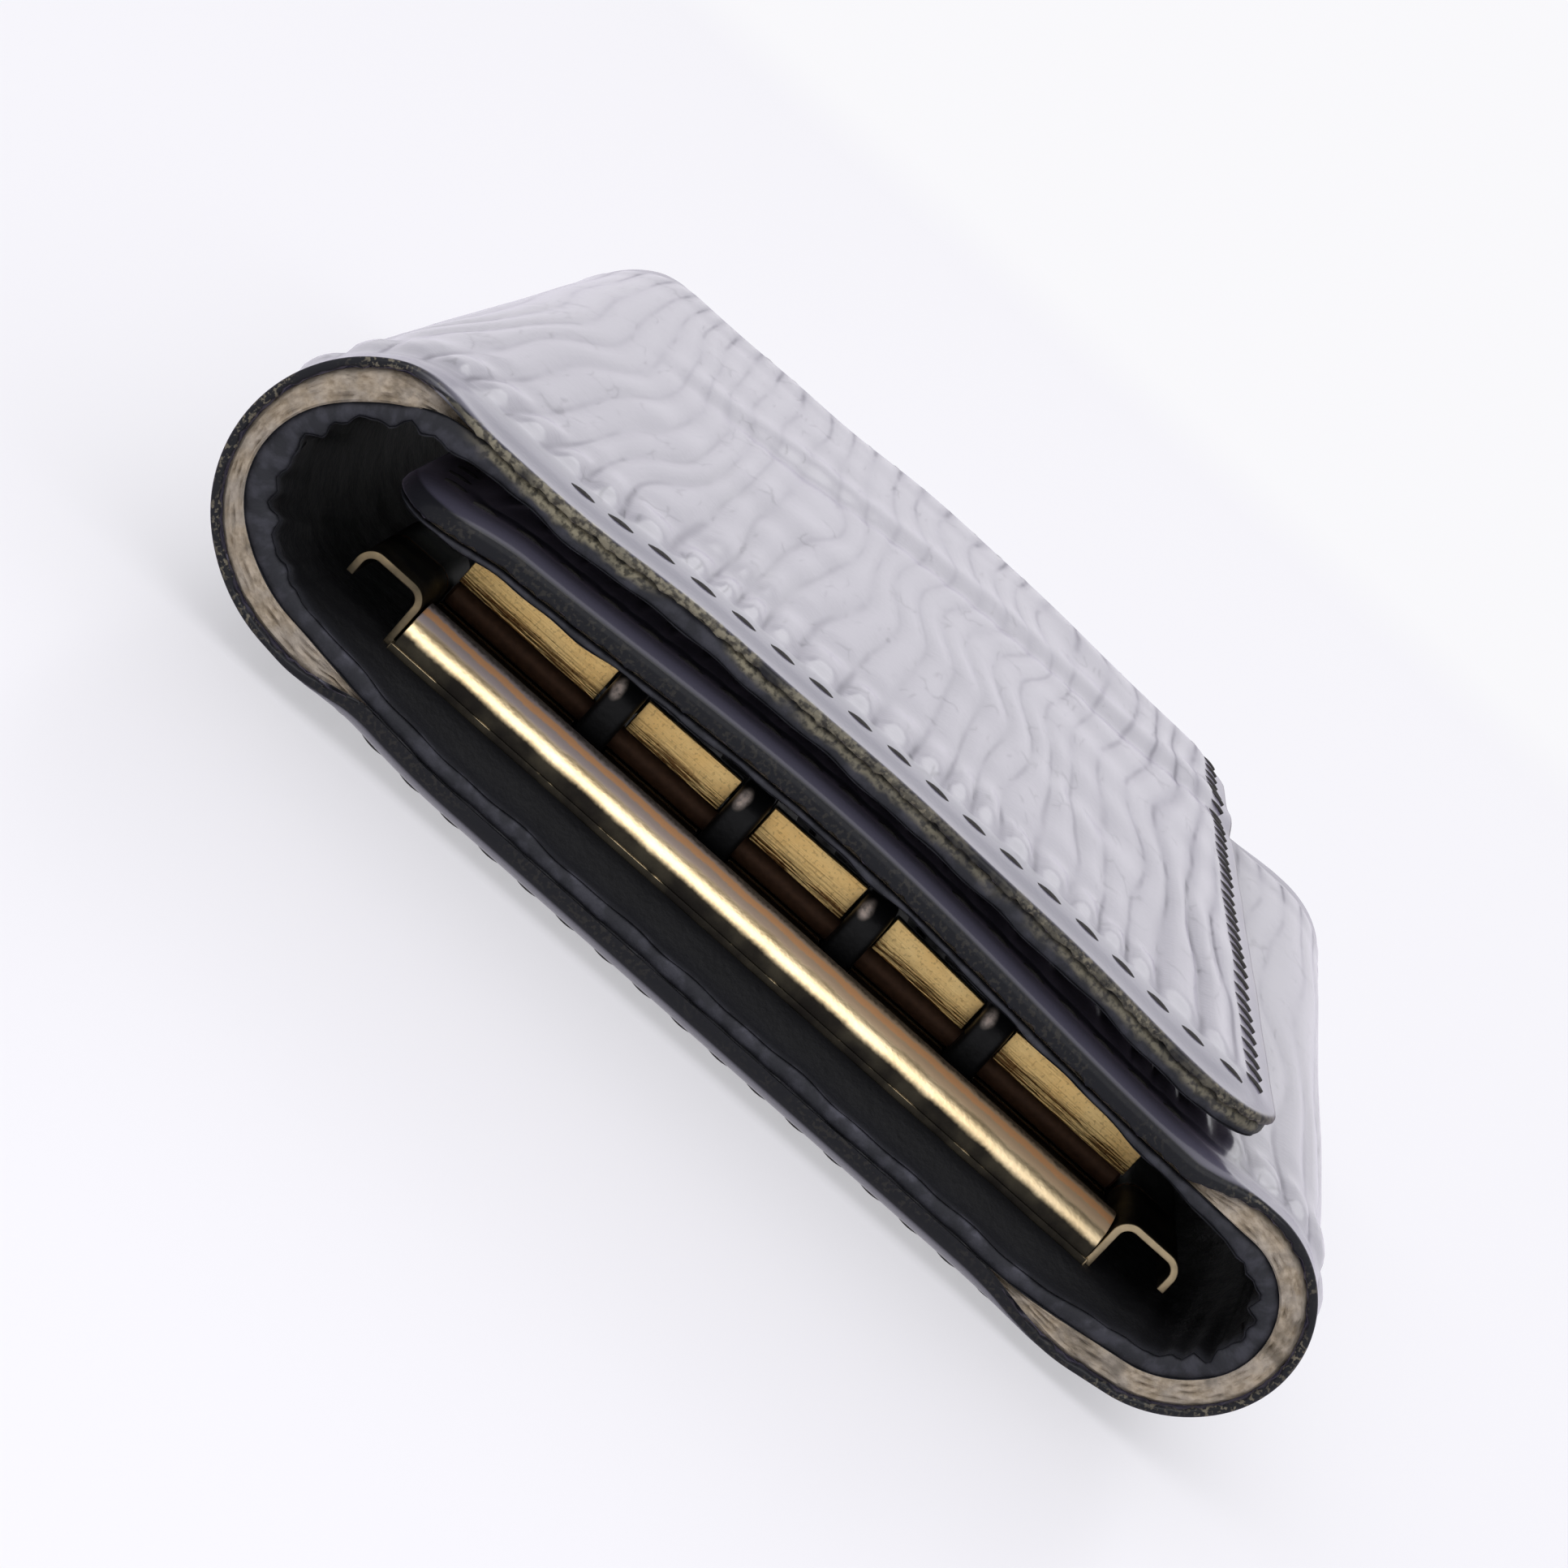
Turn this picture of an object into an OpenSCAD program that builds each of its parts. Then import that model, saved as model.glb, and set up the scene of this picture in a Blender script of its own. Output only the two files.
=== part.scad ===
// Four-hook key case, closed: a folded leather cover with a brass hook fitting inside.
// Frame: X across the case, Y along it with the fitting at the -Y end, Z up.
// The origin lies under the middle of the closed case, on the face it rests on.
// The cover is one strip of leather in three panels. It bends at two folds, so each
// fold is a band of its own between two bend lines that run on the outer face.

/* [Case] */
// Width of the closed case, from the left fold to the right fold
case_w = 70; // [62:1:84]
// Length of the case along the folds
case_l = 102; // [84:1:126]
// Clear height inside, between the back lining and the inner flap
room_h = 6.5; // [5.8:0.1:9]
// Air between the inner flap and the front flap
flap_gap = 0.8; // [0.6:0.1:1.6]
// How far the front flap's free edge stops short of the right fold
front_edge_inset = 8.5; // [6:0.5:16]
// How far the inner flap's free edge stops short of the left fold
inner_edge_inset = 7.5; // [6:0.5:16]
// Radius of the flaps' free corners
corner_r = 5; // [2:0.5:10]

/* [Leather] */
// Thickness of the grained outer leather
skin_t = 0.5; // [0.4:0.1:0.8]
// Thickness of the tan core between the two faces
core_t = 1.4; // [1.1:0.1:1.8]
// Thickness of the lining
lining_t = 0.9; // [0.7:0.1:1.2]

/* [Hook fitting] */
// Distance from one hook to the next
hook_pitch = 8.6; // [7.4:0.1:10.4]
// Thickness of the hook plate
plate_t = 1.4; // [1.1:0.1:1.7]
// Radius of the half-round bead along the plate's outer edge
bead_r = 2.2; // [1.9:0.1:2.6]
// Distance from the end of the case to the bead
bead_inset = 3.3; // [2.5:0.1:6]
// Distance from the end of the case to the rod
rod_inset = 12; // [10.5:0.5:16]
// Diameter of the rod that the hooks turn on
rod_d = 1.4; // [1.2:0.1:1.7]
// Width of the slots between the knuckles
slot_w = 2.2; // [1.9:0.1:2.6]
// Thickness of the mounting plate under the hook plate
sheet_t = 0.4; // [0.3:0.05:0.5]
// Depth of the mounting plate, from its outer edge to its inner edge
sheet_l = 17.7; // [15.5:0.1:22]
// Width over the channel at each end of the mounting plate
channel_w = 4.1; // [3.5:0.1:4.9]
// Height of that channel
channel_h = 3.3; // [2.8:0.1:3.9]
// Length of that channel along the case
channel_l = 13.8; // [11:0.1:17]
// Length of the channel's short outer wall
channel_lip = 1.8; // [1.2:0.1:2.2]
// Diameter of the rivets that hold the fitting to the leather
rivet_d = 1.2; // [1:0.1:1.5]

/* [Hooks] */
// Length of a hook from the rod to its far end
hook_l = 34; // [29:0.5:41]
// Thickness of a hook
hook_t = 1.4; // [1.2:0.1:1.7]
// Air between neighbouring hooks
hook_air = 1.4; // [1.2:0.1:2]
// Width of a hook's rails
rail_w = 1.5; // [1.25:0.05:1.6]
// Width of a hook's eye on the rod
eye_w = 1.9; // [1.6:0.1:2.1]
// Length of the gate from its pin to the nose
gate_l = 12; // [10:0.5:14]
// Diameter of the gate's pin
pin_d = 0.8; // [0.7:0.05:0.95]

/* [Press stud] */
// Distance from the front flap's free edge to the stud
stud_inset = 9.5; // [8:0.5:12]
// Diameter of the stud's head
stud_head_d = 4.4; // [3.7:0.1:5.3]
// Diameter of the socket
socket_d = 9.2; // [8:0.1:11]
// Thickness of the pressed metal
stud_metal_t = 0.35; // [0.3:0.05:0.42]

/* [Hidden] */

// Hooks in the row
hook_count = 4;

// Roundness of curves, and how far a cut runs past what it cuts
$fn = 96;
overrun = 1;

// Depth below the outer face at which each layer begins and ends
skin_layer = [0, skin_t];
core_layer = [skin_t, skin_t + core_t];
lining_layer = [skin_t + core_t, skin_t + core_t + lining_t];
wall_t = skin_t + core_t + lining_t;

// Heights of the closed stack and radii of the two folds
closed_h = 3 * wall_t + room_h + flap_gap;
inner_top = 2 * wall_t + room_h;
left_r = closed_h / 2;
right_r = inner_top / 2;
left_x = -case_w / 2 + left_r;
right_x = case_w / 2 - right_r;
front_edge_x = case_w / 2 - front_edge_inset;
inner_edge_x = -case_w / 2 + inner_edge_inset;
near_y = -case_l / 2;

// Each fold bends along two lines, this far round from its flat ends
bend_at = 45;

// Hook fitting, centred on the flat of the back panel
fitting_air = 0.5;
fitting_x = (left_x + right_x) / 2;
fitting_w = right_x - left_x - 2 * fitting_air;
sheet_z = wall_t;
sheet_y = near_y + bead_inset;
channel_y = sheet_y + plate_t / 2;
channel_bend_r = channel_w / 4;
plate_air = 0.15;
plate_w = fitting_w - 2 * channel_w - 2 * plate_air;
plate_z = sheet_z + sheet_t;
rod_air = 0.05;
curl_in_r = rod_d / 2 + rod_air;
curl_r = curl_in_r + plate_t;
rod_y = near_y + rod_inset;
rod_z = plate_z + curl_r;
// the cut end of each knuckle reaches forward over the rod and hides its upper part
nose_reach = rod_d / 2 + 2 * rod_air;
nose_low = 2 * curl_in_r / 5;
bead_y = sheet_y + bead_r;
slot_air = 0.1;
rod_chamfer = rod_d / 8;

// Rivets at the mounting plate's two inner corners, behind the knuckles
rivet_fit = 0.04;
rivet_head_d = 2 * rivet_d;
rivet_head_h = rivet_d * 0.5;
rivet_tail_d = 2.6 * rivet_d;
rivet_tail_h = core_t / 4;
rivet_y = sheet_y + sheet_l - rivet_head_d;
rivet_x = fitting_w / 2 - channel_w - rivet_head_d;

// Hooks, measured from the rod's axis
eye_drop = 0.1;
eye_r = curl_r - eye_drop;
hook_lift = 0.06;
eye_air = 0.08;
eye_bore_r = rod_d / 2 + eye_air;
eye_round = eye_w / 4;
hook_w = hook_pitch - hook_air;
inner_w = hook_w - 2 * rail_w;
hook_low = hook_lift - curl_r;
hook_mid = hook_low + hook_t / 2;
neck_l = curl_r * 1.5;
shoulder_y = hook_l * 0.23;
shoulder_end = hook_l * 0.32;
round_r = hook_w / 2;
pin_y = shoulder_end - pin_d;
pin_x = hook_w / 2 - rail_w / 2;
lap = rail_w / 2;
gate_air = 0.05;
gate_relief = rail_w * 0.6;
pin_air = 0.03;
seat_air = 0.01;
lug_t = hook_t * 0.36;
ear_r = rail_w / 2;
pocket_r = ear_r + 2 * gate_air;
spring_t = 0.2;
spring_w = hook_t * 0.6;
spring_l = gate_l / 2;
spring_seat_x = inner_w * 0.22;
spring_seat_l = pin_d * 1.6;

// Press stud
stud_x = front_edge_x - stud_inset;
stud_y = 0;
stud_air = 0.1;
front_low = closed_h - wall_t;
front_core_low = closed_h - skin_t - core_t;
stud_base_d = socket_d * 0.96;
stud_head_r = stud_head_d / 2;
stud_neck_r = stud_head_r * 0.78;
stud_post_r = stud_neck_r - stud_metal_t + 2 * stud_air / 3;
stud_head_z = front_low + lining_t;
socket_bore_r = stud_head_r + stud_air;
socket_low = inner_top + stud_metal_t + 1.5 * stud_air;
socket_top = stud_head_z + stud_air + stud_metal_t;
cap_d = socket_d * 1.12;
cap_post_r = stud_neck_r * 0.8;
cap_z = closed_h - skin_t - stud_metal_t;

// Colours as the photograph shows them
grain_blue = [0.13, 0.14, 0.19];
core_tan = [0.68, 0.62, 0.53];
lining_navy = [0.15, 0.16, 0.2];
old_gold = [0.78, 0.6, 0.32];
dark_steel = [0.16, 0.15, 0.14];
spring_steel = [0.6, 0.61, 0.62];

// Flat shapes

// A piece of a ring between two angles, up to half a turn
module ring_piece(r_out, r_in, from, to) {
    steps = 6;
    intersection() {
        difference() {
            circle(r = r_out);
            circle(r = r_in);
        }
        polygon(concat([[0, 0]], [
            for (i = [0 : steps])
            let (a = from + (to - from) * i / steps)
            2 * r_out * [cos(a), sin(a)]
        ]));
    }
}

// A rectangle whose right-hand corners are round
module free_end(size, r) {
    square([size.x - r, size.y]);
    translate([0, r]) square([size.x, size.y - 2 * r]);
    translate([size.x - r, r]) circle(r = r);
    translate([size.x - r, size.y - r]) circle(r = r);
}

// Stands a flat profile up and runs it along the case
module along_case(length, middle = 0) {
    translate([0, middle, 0]) rotate([90, 0, 0]) linear_extrude(length, center = true) children();
}

// Runs a profile drawn in Y and Z across the case
module across_case(width, middle = 0) {
    translate([middle, 0, 0]) rotate([90, 0, 90]) linear_extrude(width, center = true) children();
}

// Leather cover, one profile per panel and fold

module back_profile(layer) {
    deep = layer[1] - layer[0];
    translate([left_x, layer[0]]) square([right_x - left_x, deep]);
    translate([left_x, left_r])
        ring_piece(left_r - layer[0], left_r - layer[1], 270 - bend_at, 270);
    translate([right_x, right_r])
        ring_piece(right_r - layer[0], right_r - layer[1], 270, 270 + bend_at);
}

module left_fold_profile(layer) {
    translate([left_x, left_r])
        ring_piece(left_r - layer[0], left_r - layer[1], 90 + bend_at, 270 - bend_at);
}

module right_fold_profile(layer) {
    translate([right_x, right_r])
        ring_piece(right_r - layer[0], right_r - layer[1], bend_at - 90, 90 - bend_at);
}

module front_flap_profile(layer) {
    translate([left_x, left_r])
        ring_piece(left_r - layer[0], left_r - layer[1], 90, 90 + bend_at);
    translate([left_x, closed_h - layer[1]])
        square([front_edge_x - left_x, layer[1] - layer[0]]);
}

module inner_flap_profile(layer) {
    translate([right_x, right_r])
        ring_piece(right_r - layer[0], right_r - layer[1], 90 - bend_at, 90);
    translate([inner_edge_x, inner_top - layer[1]])
        square([right_x - inner_edge_x, layer[1] - layer[0]]);
}

module back_layer(layer) {
    along_case(case_l) back_profile(layer);
}

module left_fold_layer(layer) {
    along_case(case_l) left_fold_profile(layer);
}

module right_fold_layer(layer) {
    along_case(case_l) right_fold_profile(layer);
}

// The flaps are trimmed to round corners at their free edges
module front_flap_layer(layer) {
    intersection() {
        along_case(case_l) front_flap_profile(layer);
        translate([-case_w / 2, near_y, 0])
            linear_extrude(closed_h + overrun) free_end([front_edge_x + case_w / 2, case_l], corner_r);
    }
}

module inner_flap_layer(layer) {
    intersection() {
        along_case(case_l) inner_flap_profile(layer);
        translate([case_w / 2, near_y, 0]) mirror([1, 0, 0])
            linear_extrude(closed_h + overrun) free_end([case_w / 2 - inner_edge_x, case_l], corner_r);
    }
}

// Places along the hook row
function hook_x(i) = fitting_x + (i - (hook_count + 1) / 2) * hook_pitch;

// Puts its children on both rivets
module at_rivets(z) {
    for (side = [-1, 1]) translate([fitting_x + side * rivet_x, rivet_y, z]) children();
}

module rivet_holes(z0, z1) {
    at_rivets(z0) cylinder(d = rivet_d + 2 * rivet_fit, h = z1 - z0);
}

module stud_hole(d, z0, z1) {
    translate([stud_x, stud_y, z0]) cylinder(d = d, h = z1 - z0);
}

// Back panel

module back_skin() {
    color(grain_blue) back_layer(skin_layer);
}

module back_core() {
    color(core_tan) difference() {
        back_layer(core_layer);
        rivet_holes(skin_t - overrun, wall_t + overrun);
        at_rivets(skin_t - overrun)
            cylinder(d = rivet_tail_d + 2 * rivet_fit, h = rivet_tail_h + overrun);
    }
}

module back_lining() {
    color(lining_navy) difference() {
        back_layer(lining_layer);
        rivet_holes(skin_t, wall_t + overrun);
    }
}

// Folds

module left_fold_skin() {
    color(grain_blue) left_fold_layer(skin_layer);
}

module left_fold_core() {
    color(core_tan) left_fold_layer(core_layer);
}

module left_fold_lining() {
    color(lining_navy) left_fold_layer(lining_layer);
}

module right_fold_skin() {
    color(grain_blue) right_fold_layer(skin_layer);
}

module right_fold_core() {
    color(core_tan) right_fold_layer(core_layer);
}

module right_fold_lining() {
    color(lining_navy) right_fold_layer(lining_layer);
}

// Front flap, with the socket of the press stud let into it from below

module front_flap_skin() {
    color(grain_blue) front_flap_layer(skin_layer);
}

module front_flap_core() {
    color(core_tan) difference() {
        front_flap_layer(core_layer);
        stud_hole(socket_d + 2 * stud_air, front_core_low - overrun, socket_top);
        stud_hole(cap_d + 2 * stud_air, cap_z, closed_h);
        stud_hole(2 * (cap_post_r + stud_air), socket_top - overrun, closed_h);
    }
}

module front_flap_lining() {
    color(lining_navy) difference() {
        front_flap_layer(lining_layer);
        stud_hole(socket_d + 2 * stud_air, front_low - overrun, front_core_low + overrun);
    }
}

// Inner flap, with the stud riveted through it

module inner_flap_skin() {
    color(grain_blue) difference() {
        inner_flap_layer(skin_layer);
        stud_hole(2 * (stud_post_r + stud_air / 2), inner_top - wall_t - overrun, inner_top + overrun);
    }
}

module inner_flap_core() {
    color(core_tan) difference() {
        inner_flap_layer(core_layer);
        stud_hole(2 * (stud_post_r + stud_air / 2), inner_top - wall_t - overrun, inner_top + overrun);
    }
}

module inner_flap_lining() {
    color(lining_navy) difference() {
        inner_flap_layer(lining_layer);
        stud_hole(2 * (stud_post_r + stud_air / 2), inner_top - wall_t - overrun, inner_top + overrun);
    }
}

// Press stud

module snap_cap() {
    color(spring_steel) translate([stud_x, stud_y, 0]) rotate_extrude() difference() {
        union() {
            translate([0, cap_z]) square([cap_d / 2, stud_metal_t]);
            translate([0, socket_top]) square([cap_post_r, cap_z - socket_top]);
            translate([0, socket_top - stud_metal_t])
                square([cap_post_r - stud_air / 2, stud_metal_t]);
        }
        translate([0, socket_top - stud_metal_t - overrun])
            square([cap_post_r - stud_metal_t, overrun + stud_metal_t]);
    }
}

module snap_socket() {
    rim_r = stud_metal_t / 2;
    color(old_gold) translate([stud_x, stud_y, 0]) rotate_extrude() difference() {
        union() {
            translate([0, socket_low + rim_r])
                square([socket_d / 2, socket_top - socket_low - rim_r]);
            translate([0, socket_low]) square([socket_d / 2 - rim_r, socket_top - socket_low]);
            translate([socket_d / 2 - rim_r, socket_low + rim_r]) circle(r = rim_r);
        }
        translate([0, socket_low - overrun])
            square([socket_bore_r, socket_top - stud_metal_t - socket_low + overrun]);
        translate([0, socket_low]) square([cap_post_r, socket_top + overrun - socket_low]);
    }
}

module snap_stud() {
    base_z = inner_top;
    head_h = (stud_head_z - base_z - stud_metal_t) * 0.55;
    color(old_gold) translate([stud_x, stud_y, 0]) rotate_extrude() difference() {
        union() {
            translate([0, base_z]) square([stud_base_d / 2, stud_metal_t]);
            translate([0, base_z]) square([stud_neck_r, stud_head_z - base_z - head_h / 2]);
            translate([0, stud_head_z - head_h]) square([stud_head_r - head_h / 2, head_h]);
            translate([stud_head_r - head_h / 2, stud_head_z - head_h / 2]) circle(r = head_h / 2);
        }
        translate([-stud_head_r, base_z - overrun])
            square([stud_head_r, stud_head_z + 2 * overrun - base_z]);
        translate([0, base_z - overrun])
            square([stud_post_r + stud_air / 2, stud_head_z - stud_metal_t - base_z + overrun]);
    }
}

module snap_post() {
    low = inner_top - wall_t;
    top = stud_head_z - 2 * stud_metal_t;
    color(old_gold) translate([stud_x, stud_y, 0]) rotate_extrude() difference() {
        union() {
            translate([0, low - stud_metal_t]) square([stud_base_d / 2, stud_metal_t]);
            translate([0, low - stud_metal_t]) square([stud_post_r, top - low + stud_metal_t]);
        }
        translate([0, low])
            square([stud_post_r - stud_metal_t, top - low + overrun]);
    }
}

// Mounting plate: thin sheet with a channel folded up at each end

// Outside of one channel, drawn in by an inset
module channel_outline(inset) {
    bend_x = fitting_w / 2 - channel_bend_r;
    bend_z = channel_h - channel_bend_r;
    translate([fitting_w / 2 - channel_w + inset, -overrun])
        square([channel_w - 2 * inset, bend_z + overrun]);
    translate([bend_x + 2 * channel_bend_r - channel_w, -overrun])
        square([channel_w - 2 * channel_bend_r, channel_h - inset + overrun]);
    for (x = [bend_x, bend_x + 2 * channel_bend_r - channel_w])
        translate([x, bend_z]) circle(r = channel_bend_r - inset);
}

// Floor, rising wall, roof and hanging lip
module channel_profile() {
    inner_x = fitting_w / 2 - channel_w;
    translate([-overrun, 0]) square([inner_x + sheet_t + overrun, sheet_t]);
    difference() {
        channel_outline(0);
        channel_outline(sheet_t);
        translate([inner_x - overrun, -2 * overrun]) square([channel_w + 2 * overrun, 2 * overrun]);
        translate([inner_x + sheet_t, -overrun])
            square([channel_w + overrun, channel_h - channel_lip + overrun]);
    }
}

module mounting_plate() {
    color(old_gold) translate([fitting_x, 0, 0]) difference() {
        union() {
            translate([0, 0, sheet_z]) {
                along_case(channel_l, channel_y + channel_l / 2) channel_profile();
                along_case(channel_l, channel_y + channel_l / 2) mirror([1, 0]) channel_profile();
            }
            translate([-fitting_w / 2 + channel_w, sheet_y, sheet_z])
                cube([fitting_w - 2 * channel_w, sheet_l, sheet_t]);
        }
        translate([-fitting_x, 0, 0]) rivet_holes(sheet_z - overrun, plate_z + overrun);
    }
}

// Hook plate: bead, valley and a row of curled knuckles, bent from one strip

module hook_plate_profile() {
    front_y = rod_y - curl_r - overrun;
    valley_z = plate_z + plate_t;
    difference() {
        union() {
            translate([bead_y, plate_z]) ring_piece(bead_r, bead_r - plate_t, 0, 180);
            translate([bead_y + bead_r - plate_t, plate_z])
                square([rod_y - bead_y - bead_r + plate_t, plate_t]);
            translate([rod_y, rod_z]) circle(r = curl_r);
            translate([rod_y - nose_reach, rod_z]) square([nose_reach, curl_r]);
        }
        translate([rod_y, rod_z]) circle(r = curl_in_r);
        // the gap under the cut end, and the open front of the curl
        translate([front_y, valley_z]) square([rod_y - front_y, rod_z + nose_low - valley_z]);
        translate([front_y, valley_z])
            square([rod_y - nose_reach - front_y, rod_z + curl_r + overrun - valley_z]);
    }
}

module hook_plate() {
    slot_y = rod_y - curl_r - slot_air;
    color(old_gold) difference() {
        across_case(plate_w, fitting_x) hook_plate_profile();
        for (i = [1 : hook_count])
            translate([hook_x(i) - slot_w / 2, slot_y, plate_z - overrun])
                cube([slot_w, 2 * curl_r + overrun, 2 * curl_r + 2 * overrun]);
    }
}

// The rod ends flush with the outer knuckles, which are closed on it
module hook_rod() {
    r = rod_d / 2;
    color(dark_steel) translate([fitting_x - plate_w / 2, rod_y, rod_z]) rotate([0, 90, 0])
        rotate_extrude() polygon([
            [0, 0],
            [r - rod_chamfer, 0],
            [r, rod_chamfer],
            [r, plate_w - rod_chamfer],
            [r - rod_chamfer, plate_w],
            [0, plate_w]
        ]);
}

module plate_rivets() {
    head_r = rivet_head_d / 2;
    dome_r = (head_r * head_r + rivet_head_h * rivet_head_h) / (2 * rivet_head_h);
    color(old_gold) {
        at_rivets(skin_t) cylinder(d = rivet_tail_d, h = rivet_tail_h);
        at_rivets(skin_t) cylinder(d = rivet_d, h = plate_z - skin_t + rivet_head_h / 2);
        at_rivets(plate_z) intersection() {
            translate([0, 0, rivet_head_h - dome_r]) sphere(r = dome_r);
            cylinder(r = 2 * head_r, h = rivet_head_h);
        }
    }
}

// One hook, drawn lying along +Y with the rod's axis as its origin

// Outline of neck, shoulder, rails and round end, with the key room inside
module hook_outline() {
    difference() {
        union() {
            polygon([
                [-eye_w / 2, 0], [eye_w / 2, 0], [eye_w / 2, neck_l],
                [hook_w / 2, shoulder_y], [-hook_w / 2, shoulder_y], [-eye_w / 2, neck_l]
            ]);
            translate([-hook_w / 2, shoulder_y]) square([hook_w, hook_l - round_r - shoulder_y]);
            translate([0, hook_l - round_r]) circle(r = round_r);
        }
        translate([-inner_w / 2, shoulder_end])
            square([inner_w, hook_l - round_r - shoulder_end]);
        translate([0, hook_l - round_r]) circle(r = inner_w / 2);
    }
}

// The right-hand rail is open where the gate closes it. The gate's tip laps behind the nose.
module gate_way() {
    translate([inner_w / 2 - gate_relief, pin_y])
        square([gate_relief + rail_w + overrun, gate_l - lap]);
    translate([inner_w / 2 - gate_relief, pin_y])
        square([gate_relief + lap + gate_air, gate_l + gate_air]);
}

module hook(i) {
    color(dark_steel) translate([hook_x(i), rod_y, rod_z]) difference() {
        union() {
            translate([0, 0, hook_low]) linear_extrude(hook_t) difference() {
                hook_outline();
                gate_way();
            }
            // round lug that carries the gate's pin
            translate([pin_x, pin_y, hook_mid]) cylinder(r = ear_r, h = lug_t, center = true);
            // barrel-shaped eye on the rod
            rotate([0, 90, 0]) {
                cylinder(r = eye_r - eye_round, h = eye_w, center = true);
                cylinder(r = eye_r, h = eye_w - 2 * eye_round, center = true);
                for (side = [0, 1]) mirror([0, 0, side])
                    rotate_extrude() translate([eye_r - eye_round, eye_w / 2 - eye_round])
                        circle(r = eye_round);
            }
        }
        rotate([0, 90, 0]) cylinder(r = eye_bore_r, h = eye_w + overrun, center = true);
        // pockets for the gate's ears above and below the lug
        for (side = [0, 1]) translate([pin_x, pin_y, hook_mid]) mirror([0, 0, side])
            translate([0, 0, lug_t / 2]) cylinder(r = pocket_r, h = hook_t);
        translate([pin_x, pin_y, hook_mid])
            cylinder(d = pin_d + 2 * seat_air, h = 2 * hook_t, center = true);
        // slot that holds the spring's fixed end
        translate([spring_seat_x - seat_air, shoulder_end - spring_seat_l, hook_mid - spring_w / 2])
            cube([spring_t + 2 * seat_air, spring_seat_l + overrun, spring_w]);
    }
}

module gate(i) {
    color(dark_steel) translate([hook_x(i) + pin_x, rod_y + pin_y, rod_z + hook_mid]) difference() {
        union() {
            cylinder(r = ear_r, h = hook_t, center = true);
            translate([-rail_w / 2, 0, -hook_t / 2])
                cube([rail_w, gate_l - lap - gate_air, hook_t]);
            translate([-rail_w / 2, 0, -hook_t / 2]) cube([lap, gate_l, hook_t]);
        }
        // fork over the lug
        cylinder(r = pocket_r, h = lug_t + 2 * gate_air, center = true);
        cylinder(d = pin_d + 2 * pin_air, h = 2 * hook_t, center = true);
    }
}

module gate_pin(i) {
    color(spring_steel) translate([hook_x(i) + pin_x, rod_y + pin_y, rod_z + hook_mid])
        cylinder(d = pin_d, h = hook_t, center = true);
}

// Leaf that presses the gate shut: its root sits in the shoulder, its tip on the gate
module gate_spring(i) {
    tip_x = inner_w / 2 - gate_air - spring_t;
    color(spring_steel) translate([hook_x(i), rod_y + shoulder_end, rod_z + hook_mid - spring_w / 2])
        linear_extrude(spring_w) polygon([
            [spring_seat_x, -spring_seat_l], [spring_seat_x + spring_t, -spring_seat_l],
            [spring_seat_x + spring_t, 0], [tip_x + spring_t, spring_l],
            [tip_x, spring_l], [spring_seat_x, 0]
        ]);
}

back_skin();
back_core();
back_lining();
left_fold_skin();
left_fold_core();
left_fold_lining();
front_flap_skin();
front_flap_core();
front_flap_lining();
right_fold_skin();
right_fold_core();
right_fold_lining();
inner_flap_skin();
inner_flap_core();
inner_flap_lining();
mounting_plate();
hook_plate();
hook_rod();
plate_rivets();
hook(1);  // hook_1
hook(2);  // hook_2
hook(3);  // hook_3
hook(4);  // hook_4
gate(1);  // gate_1
gate(2);  // gate_2
gate(3);  // gate_3
gate(4);  // gate_4
gate_pin(1);  // gate_pin_1
gate_pin(2);  // gate_pin_2
gate_pin(3);  // gate_pin_3
gate_pin(4);  // gate_pin_4
gate_spring(1);  // gate_spring_1
gate_spring(2);  // gate_spring_2
gate_spring(3);  // gate_spring_3
gate_spring(4);  // gate_spring_4
snap_cap();
snap_socket();
snap_stud();
snap_post();
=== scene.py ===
# %% [markdown]
# A leather key case, shut and lying on its back, seen from the end where its hooks hang. The cover is one
# strip of leather in three panels that folds round a row of key hooks on a brass plate.
# The packed model gives every size and place. This script gives the soft parts their real form and every
# part its finish. Each step has a short note first, and then the code.

import math

import bmesh
import bpy
import numpy as np
from mathutils import Matrix, Vector


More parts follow.
